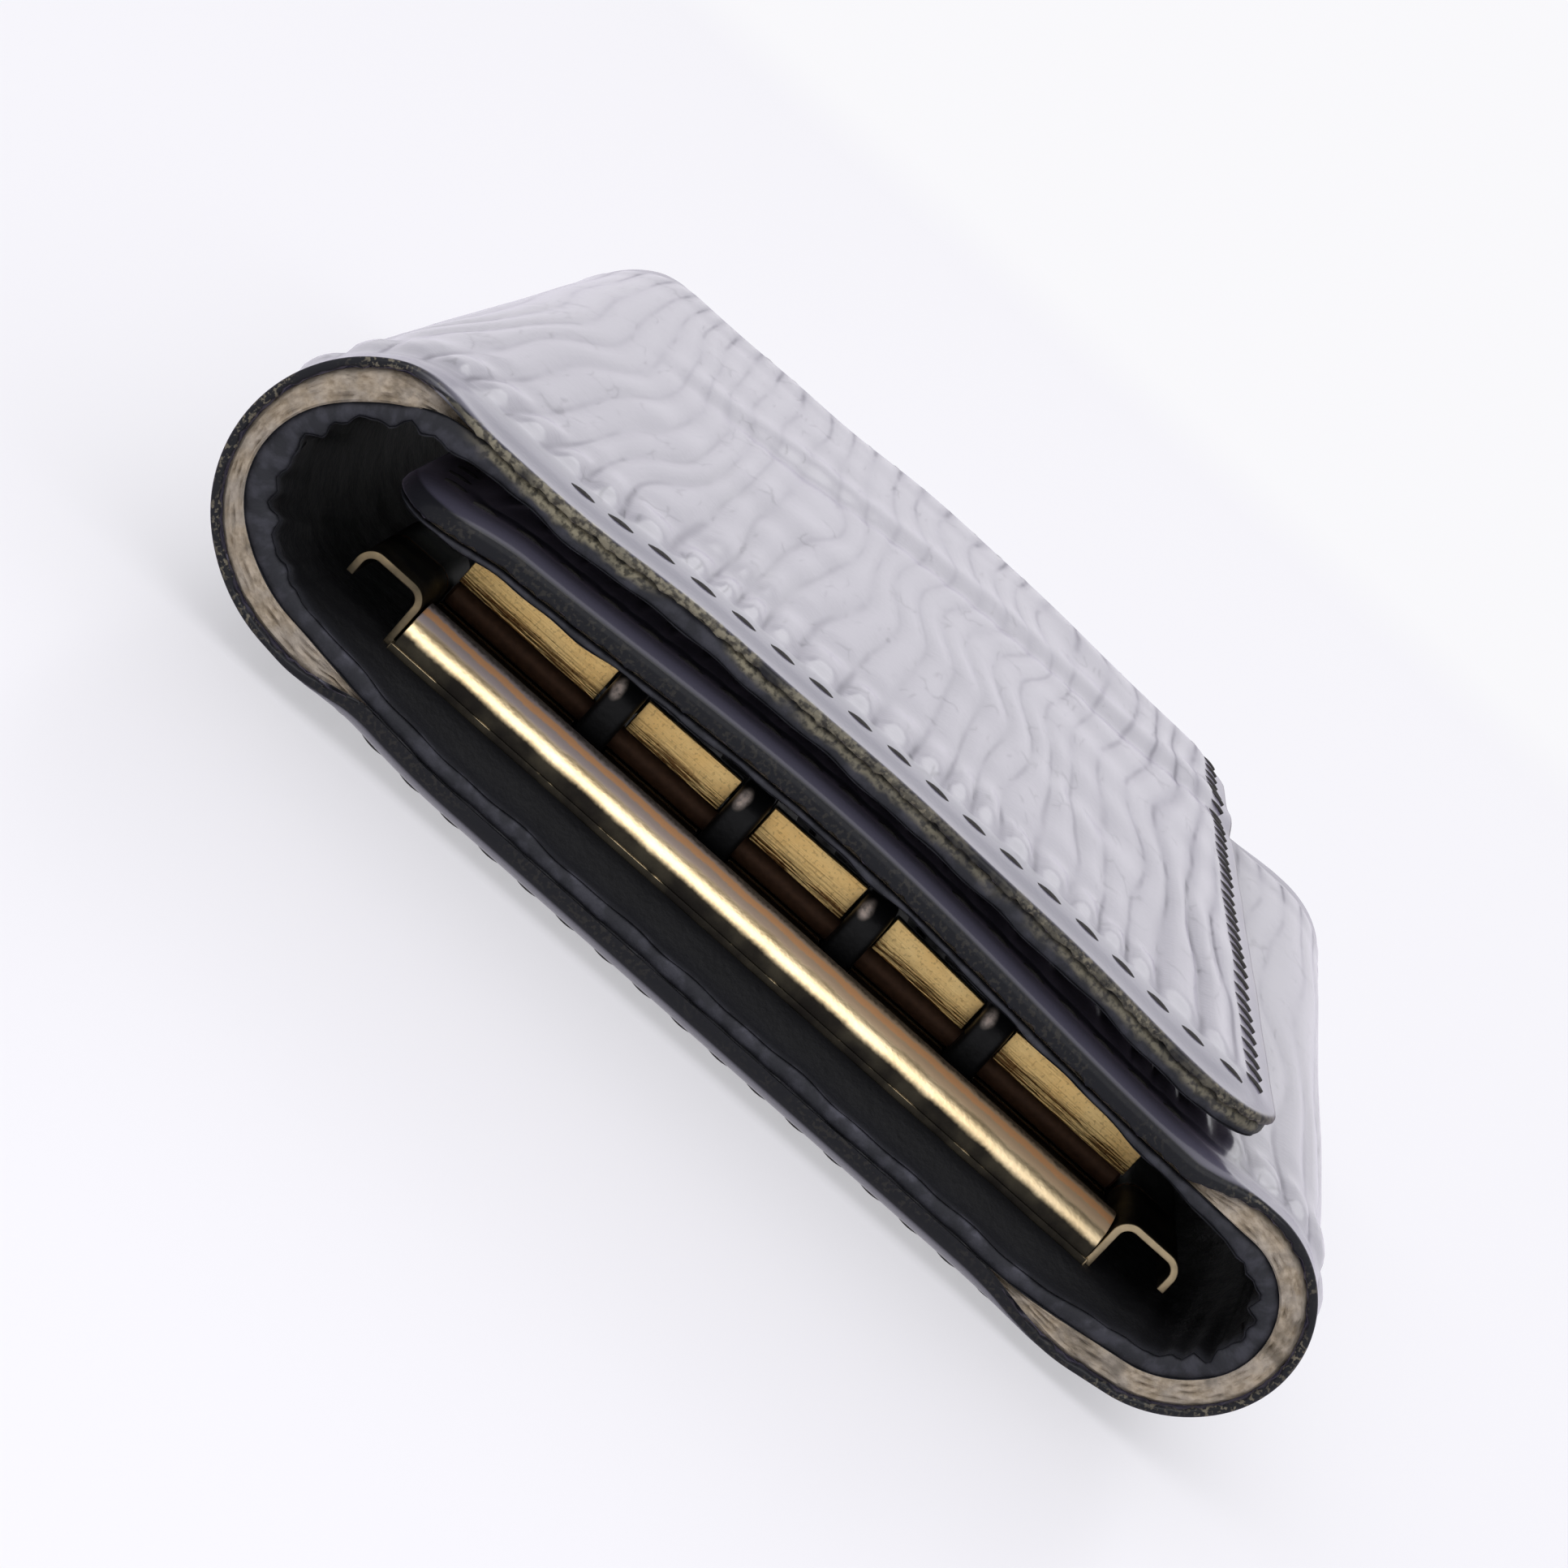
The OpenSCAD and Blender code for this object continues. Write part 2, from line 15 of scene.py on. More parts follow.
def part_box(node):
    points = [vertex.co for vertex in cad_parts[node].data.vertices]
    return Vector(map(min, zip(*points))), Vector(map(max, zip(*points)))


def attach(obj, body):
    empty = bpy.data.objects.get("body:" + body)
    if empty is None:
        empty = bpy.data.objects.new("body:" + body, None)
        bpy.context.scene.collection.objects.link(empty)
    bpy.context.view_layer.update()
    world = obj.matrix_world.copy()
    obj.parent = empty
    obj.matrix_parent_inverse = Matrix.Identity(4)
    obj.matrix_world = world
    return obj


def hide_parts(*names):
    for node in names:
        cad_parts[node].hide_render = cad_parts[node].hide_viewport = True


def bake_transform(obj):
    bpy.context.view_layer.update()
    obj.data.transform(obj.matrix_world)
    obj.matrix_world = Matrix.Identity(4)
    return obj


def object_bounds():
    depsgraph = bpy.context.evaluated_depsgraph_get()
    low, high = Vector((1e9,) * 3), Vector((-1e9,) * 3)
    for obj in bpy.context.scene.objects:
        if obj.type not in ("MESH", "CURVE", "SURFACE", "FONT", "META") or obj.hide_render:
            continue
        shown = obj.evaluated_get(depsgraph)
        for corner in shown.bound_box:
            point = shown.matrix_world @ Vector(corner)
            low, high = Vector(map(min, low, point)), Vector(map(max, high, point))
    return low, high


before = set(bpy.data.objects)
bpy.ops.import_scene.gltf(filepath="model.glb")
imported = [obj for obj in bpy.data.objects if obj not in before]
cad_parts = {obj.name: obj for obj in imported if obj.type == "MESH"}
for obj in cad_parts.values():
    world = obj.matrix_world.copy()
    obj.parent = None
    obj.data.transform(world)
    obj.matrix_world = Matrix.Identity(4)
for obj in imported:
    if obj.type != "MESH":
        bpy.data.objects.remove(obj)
cad_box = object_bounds()
MM = 0.001

# %% [markdown]
# The cover's sizes are read from the frame, so a change in the model reaches every piece here. Typed in
# again, they would soon disagree with it. The near end is the one that faces the camera.

# %% Sizes of the cover
LOW, HIGH = np.array(cad_box[0]), np.array(cad_box[1])
NEAR_Y, FAR_Y = LOW[1], HIGH[1]


def low(node):
    return np.array(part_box(node)[0])


def high(node):
    return np.array(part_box(node)[1])


def middle(node):
    return (low(node) + high(node)) / 2


SHUT_H = HIGH[2]
INNER_TOP = high("inner_flap_skin")[2]
SKIN_T = SHUT_H - high("front_flap_core")[2]
CORE_T = high("front_flap_core")[2] - high("front_flap_lining")[2]
WALL_T = low("mounting_plate")[2]
LEFT_R, RIGHT_R = SHUT_H / 2, INNER_TOP / 2
LEFT_X, RIGHT_X = LOW[0] + LEFT_R, HIGH[0] - RIGHT_R
FRONT_EDGE_X = high("front_flap_skin")[0]
INNER_EDGE_X = low("inner_flap_skin")[0]
CORNER_R = 5 * MM
print("wall %.2f mm, folds %.2f and %.2f mm" % (WALL_T / MM, LEFT_R / MM, RIGHT_R / MM))

# %% [markdown]
# The camera stands where the photograph was taken: close to the near end, a little above it, and rolled so
# that the case runs down across the picture. Its place was solved from the case's own edges.

# %% Camera
PHOTO_PX = 1932
FOCAL_PX = 4552
SENSOR_MM = 36
CAMERA_AT = Vector((-13.04 * MM, NEAR_Y - 176.78 * MM, 46.26 * MM))
AZIMUTH, ELEVATION, ROLL = (math.radians(a) for a in (3.11, 11.03, 42.3))

look = Vector((math.sin(AZIMUTH) * math.cos(ELEVATION), math.cos(AZIMUTH) * math.cos(ELEVATION),
               -math.sin(ELEVATION)))
right = Vector((math.cos(AZIMUTH), -math.sin(AZIMUTH), 0))
up = right.cross(look)
camera_x = right * math.cos(ROLL) + up * math.sin(ROLL)
camera_y = up * math.cos(ROLL) - right * math.sin(ROLL)
turned_to = Matrix((camera_x, camera_y, -look)).transposed().to_4x4()
camera = bpy.data.objects.new("camera", bpy.data.cameras.new("camera"))
camera.data.sensor_width = SENSOR_MM
camera.data.lens = FOCAL_PX / PHOTO_PX * SENSOR_MM
camera.data.clip_start = 0.01
camera.matrix_world = Matrix.Translation(CAMERA_AT) @ turned_to
bpy.context.scene.collection.objects.link(camera)
bpy.context.scene.camera = camera
bpy.context.scene.view_settings.view_transform = "Standard"
print("lens %.1f mm" % camera.data.lens)

# %% [markdown]
# Finishes, the room's light and the stitches are all made by node trees. Such a tree could be written node
# by node and link by link, but that is long and hard to read. So a small class wraps a node's socket, and
# the maths of a tree is written as plain sums, each of which adds its own Math node. A second class adds
# every other node by one method. Its sizes are in millimetres.

# %% A small language for node trees


class Value:
    """A number, a colour or a point that varies over a surface."""

    def __init__(self, tree, socket):
        self.tree = tree
        self.socket = socket

    def maths(self, operation, *others, clamp=False):
        return self.tree.add("ShaderNodeMath", {"operation": operation, "use_clamp": clamp},
                             [self, *others])[0]

    def __add__(self, other):
        return self.maths("ADD", other)

    def __sub__(self, other):
        return self.maths("SUBTRACT", other)

    def __rsub__(self, other):
        return self.tree.number(other) - self

    def __mul__(self, other):
        return self.maths("MULTIPLY", other)

    def __truediv__(self, other):
        return self.maths("DIVIDE", other)

    __radd__ = __add__
    __rmul__ = __mul__

    def clamp(self):
        return self.maths("ADD", 0.0, clamp=True)

    def step(self, start, end):
        """0 below start, 1 above end, and smooth between them."""
        return self.tree.add("ShaderNodeMapRange", {"interpolation_type": "SMOOTHSTEP"},
                             {"Value": self, "From Min": start, "From Max": end})[0]

    def rise(self, start, end, place=0):
        """A step from start to end, both in millimetres from a place."""
        return self.step(place + start * MM, place + end * MM)


class Tree:
    """A tree of nodes. Every node in it comes from add()."""

    def __init__(self, tree):
        self.tree = tree
        self.tree.nodes.clear()

    def add(self, kind, settings=None, inputs=None):
        """Adds a node: first its settings, then its sockets. Gives back its outputs."""
        node = self.tree.nodes.new(kind)
        for key, value in (settings or {}).items():
            setattr(node, key, value)
        pairs = inputs.items() if isinstance(inputs, dict) else enumerate(inputs or [])
        for key, value in pairs:
            socket = node.inputs[key]
            if isinstance(value, Value):
                self.tree.links.new(value.socket, socket)
            else:
                socket.default_value = (*value, 1) if socket.type == "RGBA" and len(value) == 3 else value
        return [Value(self, s) for s in node.outputs if s.enabled]

    def source(self, kind, *names, **settings):
        """The outputs of those names, from a node that needs no inputs."""
        found = {value.socket.name: value for value in self.add(kind, settings)}
        return [found[name] for name in names]

    def number(self, value):
        made = self.add("ShaderNodeValue")[0]
        made.socket.default_value = value
        return made

    def parts(self, point):
        return self.add("ShaderNodeSeparateXYZ", None, [point])

    def vector(self, operation, *values):
        return self.add("ShaderNodeVectorMath", {"operation": operation}, values)[0]

    def scaled(self, point, sizes):
        """The point counted in sizes, one for each direction."""
        return self.vector("MULTIPLY", point, tuple(1 / (size * MM) for size in sizes))


print("a value knows", [name for name in vars(Value) if not name.startswith("_")])

# %% [markdown]
# A finish is a tree with a few ready patterns: clouds of noise, the edges of random cells, a mix of two
# colours and a shallow relief. They are worked out at each point of a piece, so they need no image and stay
# sharp close up. A pattern with one size for each direction is stretched, as fibres are.

# %% A paint box
THROUGH = 1000  # so long a size that the pattern hardly changes through the sheet
NOISE_COLOUR = 1  # the noise node's second output


class Paint(Tree):
    """One material's tree."""

    def __init__(self, name):
        self.material = bpy.data.materials.new(name)
        self.material.use_nodes = True
        super().__init__(self.material.node_tree)

    def noise(self, point, size, detail=2.0, output=0):
        """Cloudy noise whose patches are about that size, or one size for each direction."""
        scale = 1.0
        if isinstance(size, tuple):
            point = self.scaled(point, size)
        else:
            scale = 1 / (size * MM)
        inputs = {"Vector": point, "Scale": scale, "Detail": detail}
        return self.add("ShaderNodeTexNoise", None, inputs)[output]

    def to_cell_edge(self, point):
        return self.add("ShaderNodeTexVoronoi", {"feature": "DISTANCE_TO_EDGE"},
                        {"Vector": point, "Scale": 1.0})[0]

    def mix(self, factor, first, second):
        """first where factor is 0, second where it is 1."""
        return self.add("ShaderNodeMix", {"data_type": "RGBA"}, {0: factor, 6: first, 7: second})[0]

    def bump(self, height, depth, under=None):
        """Turns a height of 0 to 1 into relief that deep, on top of the relief under it."""
        inputs = {"Height": height, "Strength": 1.0, "Distance": depth * MM}
        if under is not None:
            inputs["Normal"] = under
        return self.add("ShaderNodeBump", None, inputs)[0]

    def finish(self, **sockets):
        """Ends the material in one Principled shader."""
        surface = self.add("ShaderNodeBsdfPrincipled", None,
                           {name.replace("_", " "): value for name, value in sockets.items()})[0]
        self.add("ShaderNodeOutputMaterial", None, [surface])
        return self.material


print("patterns:", [name for name in vars(Paint) if not name.startswith("_")])

# %% [markdown]
# The cover's section is a path: along the inner flap, round the right fold, under the back, round the left
# fold and along the front flap. A point of the cover is then given by three numbers: how far along the
# path, how far along the case, and how deep below the outer face. Every layer is drawn in these numbers.
# A flat sheet could be bent by modifiers instead, but this way each layer keeps its place in the fold.

# %% The path of the cover
SEGMENTS = {
    "inner flap": RIGHT_X - INNER_EDGE_X,
    "right fold": math.pi * RIGHT_R,
    "back": RIGHT_X - LEFT_X,
    "left fold": math.pi * LEFT_R,
    "front flap": FRONT_EDGE_X - LEFT_X,
}
STARTS = np.concatenate([[0.0], np.cumsum(list(SEGMENTS.values()))])
RIGHT_FOLD_S, BACK_S, LEFT_FOLD_S, FRONT_S, PATH_END = STARTS[1:]


def path_point(s):
    """Place (x, z) of the outer face at s, and its inward direction (x, z)."""
    s = np.clip(s, 0, PATH_END)
    flat = 0 * s
    right_angle = np.radians(90) - (s - RIGHT_FOLD_S) / RIGHT_R
    left_angle = np.radians(270) - (s - LEFT_FOLD_S) / LEFT_R
    spans = [s < RIGHT_FOLD_S, s < BACK_S, s < LEFT_FOLD_S, s < FRONT_S]
    x = np.select(spans, [INNER_EDGE_X + s, RIGHT_X + RIGHT_R * np.cos(right_angle),
                          RIGHT_X - (s - BACK_S), LEFT_X + LEFT_R * np.cos(left_angle)],
                  LEFT_X + s - FRONT_S)
    z = np.select(spans, [INNER_TOP + flat, RIGHT_R + RIGHT_R * np.sin(right_angle), flat,
                          LEFT_R + LEFT_R * np.sin(left_angle)], SHUT_H + flat)
    in_x = np.select(spans, [flat, -np.cos(right_angle), flat, -np.cos(left_angle)], flat)
    in_z = np.select(spans, [flat - 1, -np.sin(right_angle), flat + 1, -np.sin(left_angle)], flat - 1)
    return x, z, in_x, in_z


print("path %.1f mm long" % (PATH_END / MM))

# %% [markdown]
# Shapes here are sums of soft steps and waves. A step that is given in millimetres from a place reads like
# the finish's own steps, and waves of a few lengths that don't fit each other look like chance.

# %% Steps and waves


def smooth(value, start, end):
    """0 below start, 1 above end, and smooth between them."""
    t = np.clip((value - start) / (end - start), 0, 1)
    return t * t * (3 - 2 * t)


def rise(value, start, end, place=0):
    """A step from start to end, both in millimetres from a place."""
    return smooth(value, place + start * MM, place + end * MM)


def hump(value, width):
    """1 at value 0, falling away on both sides over a width in millimetres."""
    return np.exp(-(value / (width * MM)) ** 2)


def wander(value, lengths, seed):
    """A smooth line of waves of those lengths in millimetres, about -1 to 1."""
    phases = np.random.default_rng(seed).uniform(0, 2 * math.pi, len(lengths))
    waves = [np.sin(2 * math.pi * value / (length * MM) + phase) for length, phase in zip(lengths, phases)]
    return np.sum(waves, axis=0) / len(lengths)


print("halfway up a step:", rise(0.5 * MM, 0, 1))

# %% [markdown]
# Old leather isn't straight. The right fold stands out more and more towards the far end, the front flap
# has a soft crease across it, both flaps bow up in the middle and the back hangs down a little between the
# folds. They could be sculpted, but then each layer would need the same strokes. Here they are added to
# every layer alike, so that the layers stay together.

# %% Age and use in the cover's shape
FLARE = 0.072
CREASE_FROM_NEAR, CREASE_SLANT, CREASE_DEEP = 67 * MM, 0.42, 0.4 * MM
BEHIND_CREASE = 5.5 * MM
FRONT_BOW, INNER_BOW, BOW_HALF = 0.7 * MM, 1.1 * MM, 25 * MM
INNER_DROOP = 0.9 * MM
BACK_SAG = 1.6 * MM
UNEVEN = 0.22 * MM


def back_sag(s):
    """How far the back hangs below the folds."""
    return BACK_SAG * (rise(s, -6, 9, BACK_S) - rise(s, -12, 6, LEFT_FOLD_S))


def bowed(x):
    """1 in the middle of the case and 0 towards its sides."""
    return np.cos(np.clip(x / BOW_HALF, -1, 1) * math.pi / 2) ** 2


def place(s, y, deep):
    """The point of the cover at s along the path, y along the case and deep below the outer face."""
    x, z, in_x, in_z = path_point(s)
    x = x + in_x * deep
    z = z + in_z * deep
    on_front = rise(s, 0, 12, FRONT_S)
    on_inner = 1 - rise(s, -9, 0, RIGHT_FOLD_S)
    by_right = smooth(x, 10 * MM, RIGHT_X + RIGHT_R) * (s < LEFT_FOLD_S - 10 * MM)
    x = x + FLARE * (y - NEAR_Y) * by_right
    crease = y - NEAR_Y - CREASE_FROM_NEAR - CREASE_SLANT * x
    z = z + on_front * CREASE_DEEP * (0.55 * hump(crease - BEHIND_CREASE, 3.4) - 0.6 * hump(crease, 2.4))
    z = z + bowed(x) * (FRONT_BOW * on_front + INNER_BOW * on_inner) - back_sag(s)
    z = z - INNER_DROOP * on_inner * rise(-x, 20, 27)
    uneven = wander(y + 0.3 * x, (41, 23, 13), 3) * wander(x, (37, 17), 4)
    z = z + UNEVEN * uneven * on_front
    return np.stack([x, y + 0 * x, z], axis=-1)


print("the right fold stands out by %.1f mm at the far end" % (FLARE * (FAR_Y - NEAR_Y) / MM))

# %% [markdown]
# Each layer is a thin closed slab. On the flat runs the outer leather is turned over the edge of the core;
# at the folds it is cut, so the tan core shows. First come the helpers that say where the rim is and how a
# grid of places is drawn in from it, round the flaps' corners too.

# %% Rims, corners and turned edges
EDGE_R = 1.25 * MM
EDGE_STEPS = 6
FINE_BAND = 9 * MM


def spread(length, fine, coarse, both=True):
    """Positions from 0 to length: close together at the edges, wider in the middle."""
    ramp = [EDGE_R * (1 - math.cos(math.pi / 2 * k / EDGE_STEPS)) for k in range(EDGE_STEPS)] + [EDGE_R]
    gap = fine
    while ramp[-1] < min(FINE_BAND, length / 2 - coarse):
        ramp.append(ramp[-1] + gap)
        gap = min(gap * 1.07, coarse)
    end = [length - r for r in reversed(ramp)] if both else [length]
    inner = np.linspace(ramp[-1], end[0], max(2, round((end[0] - ramp[-1]) / coarse)) + 1)[1:-1]
    return np.array([*ramp, *inner, *end])


def to_end(y):
    """Distance from the nearer end of the case."""
    return np.minimum(y - NEAR_Y, FAR_Y - y)


def to_free_edge(s, piece):
    """Distance from the flap's free edge, or far away on a piece without one."""
    return {"inner": s, "front": PATH_END - s}.get(piece, 0 * s + 1.0)


def rim_distance(to_free, y):
    """Distance from the nearest cut or free edge, round its corners too."""
    a = CORNER_R - to_free
    b = CORNER_R - to_end(y)
    return CORNER_R - np.hypot(np.maximum(a, 0), np.maximum(b, 0)) - np.minimum(np.maximum(a, b), 0)


def plan(piece, s, share, inset):
    """Draws (s, share of the length) in from the free and cut edges by inset, and gives (s, y)."""
    if piece == "inner":
        s = s + inset * (1 - rise(s, 0, 4))
    if piece == "front":
        s = s - inset * (1 - rise(PATH_END - s, 0, 4))
    radius = CORNER_R - inset
    reach = np.clip(radius - to_free_edge(s, piece) + inset, 0, radius)
    shift = inset + radius - np.sqrt(radius ** 2 - reach ** 2)
    return s, NEAR_Y + shift + (FAR_Y - NEAR_Y - 2 * shift) * share


def pared(s):
    """1 on the front flap, whose edges are pared thin, 0 elsewhere."""
    return rise(s, -4, 2.5, FRONT_S)


def turned(s):
    """1 where the outer leather is turned over the edge, 0 where the core is bare."""
    back = rise(s, 2, 10, BACK_S) * (1 - rise(s, -7, -1, LEFT_FOLD_S))
    inner = 1 - rise(s, -5, -0.5, RIGHT_FOLD_S)
    return pared(s) + back + inner


ACROSS = spread(FAR_Y - NEAR_Y, 0.3 * MM, 1.0 * MM) / (FAR_Y - NEAR_Y)
print("rows across the case", len(ACROSS))

# %% [markdown]
# A slab is two grids of points, outer and inner, joined round their rim by rows that give the edge its form.
# Solidify would thicken a sheet too, but with the same straight edge for every layer.
# Its mesh also keeps what the finish needs to know at each point: its place on the sheet, its distance from
# the rim and its place in the grain.

# %% How a slab is built
SHARP = math.radians(70)


def rim_of(grid):
    """The grid's outer row of points, all the way round."""
    return np.concatenate([grid[:, 0], grid[-1, 1:], grid[-2::-1, -1], grid[0, -2:0:-1]])


def slab(name, outer, inner, rims):
    """A closed mesh from an outer grid, an inner grid and the rows of points between their rims.
    Each is (points, where on the sheet, distance from the rim, grain)."""
    rows, columns = outer[0].shape[:2]
    index = np.arange(rows * columns).reshape(rows, columns)
    quads = np.stack([index[:-1, :-1], index[:-1, 1:], index[1:, 1:], index[1:, :-1]], -1).reshape(-1, 4)
    faces = [quads, quads[:, ::-1] + rows * columns]
    ring = rim_of(index)
    starts = 2 * rows * columns + len(ring) * np.arange(len(rims))
    chain = [ring, *(np.arange(len(ring)) + start for start in starts), ring + rows * columns]
    for near, far in zip(chain, chain[1:]):
        faces.append(np.stack([near, far, np.roll(far, -1), np.roll(near, -1)], -1))
    points, sheet, edge, grained = (
        np.concatenate([part[k].reshape(-1, size) for part in (outer, inner, *rims)])
        for k, size in enumerate((3, 3, 1, 3)))
    mesh = bpy.data.meshes.new(name)
    mesh.from_pydata(points.tolist(), [], np.concatenate(faces).tolist())
    mesh.attributes.new("sheet", "FLOAT_VECTOR", "POINT").data.foreach_set("vector", sheet.ravel())
    mesh.attributes.new("edge", "FLOAT", "POINT").data.foreach_set("value", edge.ravel())
    mesh.attributes.new("grain", "FLOAT_VECTOR", "POINT").data.foreach_set("vector", grained.ravel())
    return shown(name, mesh, SHARP)


def shown(name, mesh, sharp=None):
    """Puts a mesh in the scene as a smooth object, with an edge where its faces meet at a sharp angle."""
    mesh.polygons.foreach_set("use_smooth", [True] * len(mesh.polygons))
    if sharp:
        mesh.set_sharp_from_angle(angle=sharp)
    made = bpy.data.objects.new(name, mesh)
    bpy.context.scene.collection.objects.link(made)
    return made


# %% [markdown]
# The outer leather is pressed into long ridges that run along the case, with a row of rounded lumps just
# inside the stitched border. A ridge's number, its phase, rises by one from each ridge to the next and is
# bent by smooth noise, so ridges drift, close into eyes and open again. The low shape goes into the mesh,
# because relief that is only in a finish leaves the outline smooth. The phase is kept for the finish, which
# cuts the thin creases between the ridges.

# %% Ridges and lumps
RIDGE = 2.25 * MM
BORDER = 2.9 * MM
KNOTS = 64
# grain() uses layers 0, 1 and 3 of this table.
LATTICE = np.random.default_rng(7).uniform(-1, 1, (4, KNOTS, KNOTS))
LUMP_LENGTHS = np.random.default_rng(8).uniform(6.5 * MM, 12 * MM, KNOTS)


def drift(s, y, size_s, size_y, layer):
    """Smooth noise on the sheet, -1 to 1, with patches of that size in millimetres."""
    u, v = s / (size_s * MM) + 20, y / (size_y * MM) + 20
    i, j = np.floor(u).astype(int), np.floor(v).astype(int)
    a, b = smooth(u - i, 0, 1), smooth(v - j, 0, 1)
    table = LATTICE[layer]
    near = table[i % KNOTS, j % KNOTS] * (1 - a) + table[(i + 1) % KNOTS, j % KNOTS] * a
    far = table[i % KNOTS, (j + 1) % KNOTS] * (1 - a) + table[(i + 1) % KNOTS, (j + 1) % KNOTS] * a
    return near * (1 - b) + far * b


def grain(s, y, rim):
    """The ridge number at a place, and how high the leather stands there, 0 to 1."""
    end = to_end(y)
    straight = y + np.sign(-y) * (np.hypot(end, 9 * MM) - end)
    bend = 1.5 * drift(s, straight, 17, 44, 0) + 0.6 * drift(s, straight, 5, 17, 1)
    phase = s / RIDGE + bend
    ridge = 1 - np.cos(math.pi * phase) ** 4
    along = (rim - BORDER) / LUMP_LENGTHS[np.floor(phase).astype(int) % KNOTS]
    lump = smooth(along, 0, 0.32) * (1 - 0.8 * smooth(along, 0.5, 1))
    beyond = smooth(along, 1, 1.5) * (0.3 + 0.35 * drift(s, y, 9, 14, 3))
    return phase, ridge * (lump + beyond) * (1 - 0.7 * rise(y, 14, 60, NEAR_Y))


print("about %d ridges" % (PATH_END / RIDGE))

# %% [markdown]
# The layers' faces have forms of their own. The outer leather falls away towards a turned edge and has a
# groove under the stitches. The core looks thin at the side of the left fold and thick at its top. The
# lining is thick at the ends and gathers where it is drawn round the inside of a fold.

# %% Faces of the layers
STITCH_IN = 2.4 * MM
LIP_DEEP = 1.7 * MM
THIN_LIP_DEEP = 1.2 * MM
CUT_R = 0.18 * MM
FOLD_SIDE, FOLD_TOP = 10 * MM, 19 * MM


def face_drop(s, rim):
    """How far the outer face falls towards a turned edge."""
    t = turned(s)
    radius = CUT_R + (EDGE_R - CUT_R) * t * (1 - 0.89 * pared(s))
    reach = np.clip(radius - rim, 0, radius)
    roll = radius - np.sqrt(np.maximum(radius ** 2 - reach ** 2, 0))
    slope = (0.3 + 0.4 * smooth(s, RIGHT_FOLD_S, BACK_S)) * MM * t * (1 - rise(rim, 0.2, 3.1))
    groove = 0.1 * MM * hump(rim - STITCH_IN, 0.45) * (0.35 + 0.65 * t)
    return roll + slope + groove


def core_bottom(s):
    """How deep the core reaches."""
    side = hump(s - LEFT_FOLD_S - FOLD_SIDE, 5)
    top = hump(s - LEFT_FOLD_S - FOLD_TOP, 3.5)
    return SKIN_T + CORE_T + (0.32 * top - 0.38 * side) * MM


def lining_top(s, rim):
    """Where the lining begins: under the core, and right under the outer leather at a pared edge."""
    return core_bottom(s) - (core_bottom(s) - THIN_LIP_DEEP) * pared(s) * (1 - rise(rim, 0.4, 1.8))


def swell(s, y):
    """How far the lining stands in from its even thickness."""
    end = to_end(y)
    fold = rise(s, -2, 3, LEFT_FOLD_S) * (1 - rise(s, -2, 6, FRONT_S))
    fold = fold + rise(s, -2, 2, RIGHT_FOLD_S) * (1 - rise(s, -1, 3, BACK_S))
    lobes = wander(s + 0.25 * y, (2.9, 2.1, 4.7), 11)
    gather = (0.28 + 0.55 * lobes) * 0.75 * MM * fold * np.exp(-end / (7 * MM))
    wave = 0.16 * MM * wander(s, (6.1, 3.7, 9.7), 12) * (1 - fold) * np.exp(-end / (1.6 * MM))
    thick = 0.3 * MM * np.exp(-end / (1.1 * MM)) * (1 - 0.7 * rise(s, 0, 5, FRONT_S))
    return gather + wave + thick


def lining_bottom(s, y, rim):
    """How deep the lining reaches: less near the flaps' edges, and level in the middle of the back."""
    thin = (0.45 * pared(s) + 0.6 * (1 - rise(s, -9, 0, RIGHT_FOLD_S))) * MM
    level = WALL_T - thin * (1 - rise(rim, 0.5, 9)) + back_sag(s) * rise(rim, 1.2, 3.2)
    return level + swell(s, y) - 0.15 * MM * (1 - rise(rim, 0.2, 1.0))


core_at_top = core_bottom(LEFT_FOLD_S + FOLD_TOP) - SKIN_T
print("the core is %.2f mm thick at the left fold's top" % (core_at_top / MM))

# %% [markdown]
# The layers also end in their own ways, and a slab's rim rows say how. The outer leather rolls over with a
# wavy lip, and is ragged where it is cut. The core ends in a rough fibrous cut. The lining's edge is round.
# A panel holds the grid of places that a layer is drawn on.

# %% Edges of the layers
STUD_X = middle("snap_stud")[0]
RELIEF = 0.42 * MM
LIP_ROWS = ((0, 0.5), (0.04, 0.92), (0.14, 1), (0.34, 1))
CUT_ROWS = 7


class Panel:
    """The grid of places for one piece of the cover."""

    def __init__(self, piece, run):
        self.piece = piece
        self.run, self.share = np.meshgrid(run, ACROSS, indexing="ij")
        self.rim_run, self.rim_share = rim_of(self.run), rim_of(self.share)

    def points(self, at_s, at_share, inset, deep):
        """The places drawn in by inset, at the depth that deep gives."""
        s, y = plan(self.piece, at_s, at_share, inset)
        rim = np.maximum(rim_distance(to_free_edge(s, self.piece), y), 0)
        value = deep(s, y, rim)
        phase, height = grain(s, y, rim)
        return place(s, y, value), np.stack([s, y, value], -1), rim, np.stack([phase, height, 0 * s], -1)

    def face(self, inset, deep):
        return self.points(self.run, self.share, inset, deep)

    def row(self, inset, deep):
        """A row of points round the rim, drawn in by as much as inset gives at each place along it."""
        along = self.rim_run + 0.7 * self.rim_share * FAR_Y
        return self.points(self.rim_run, self.rim_share, inset(along), deep)


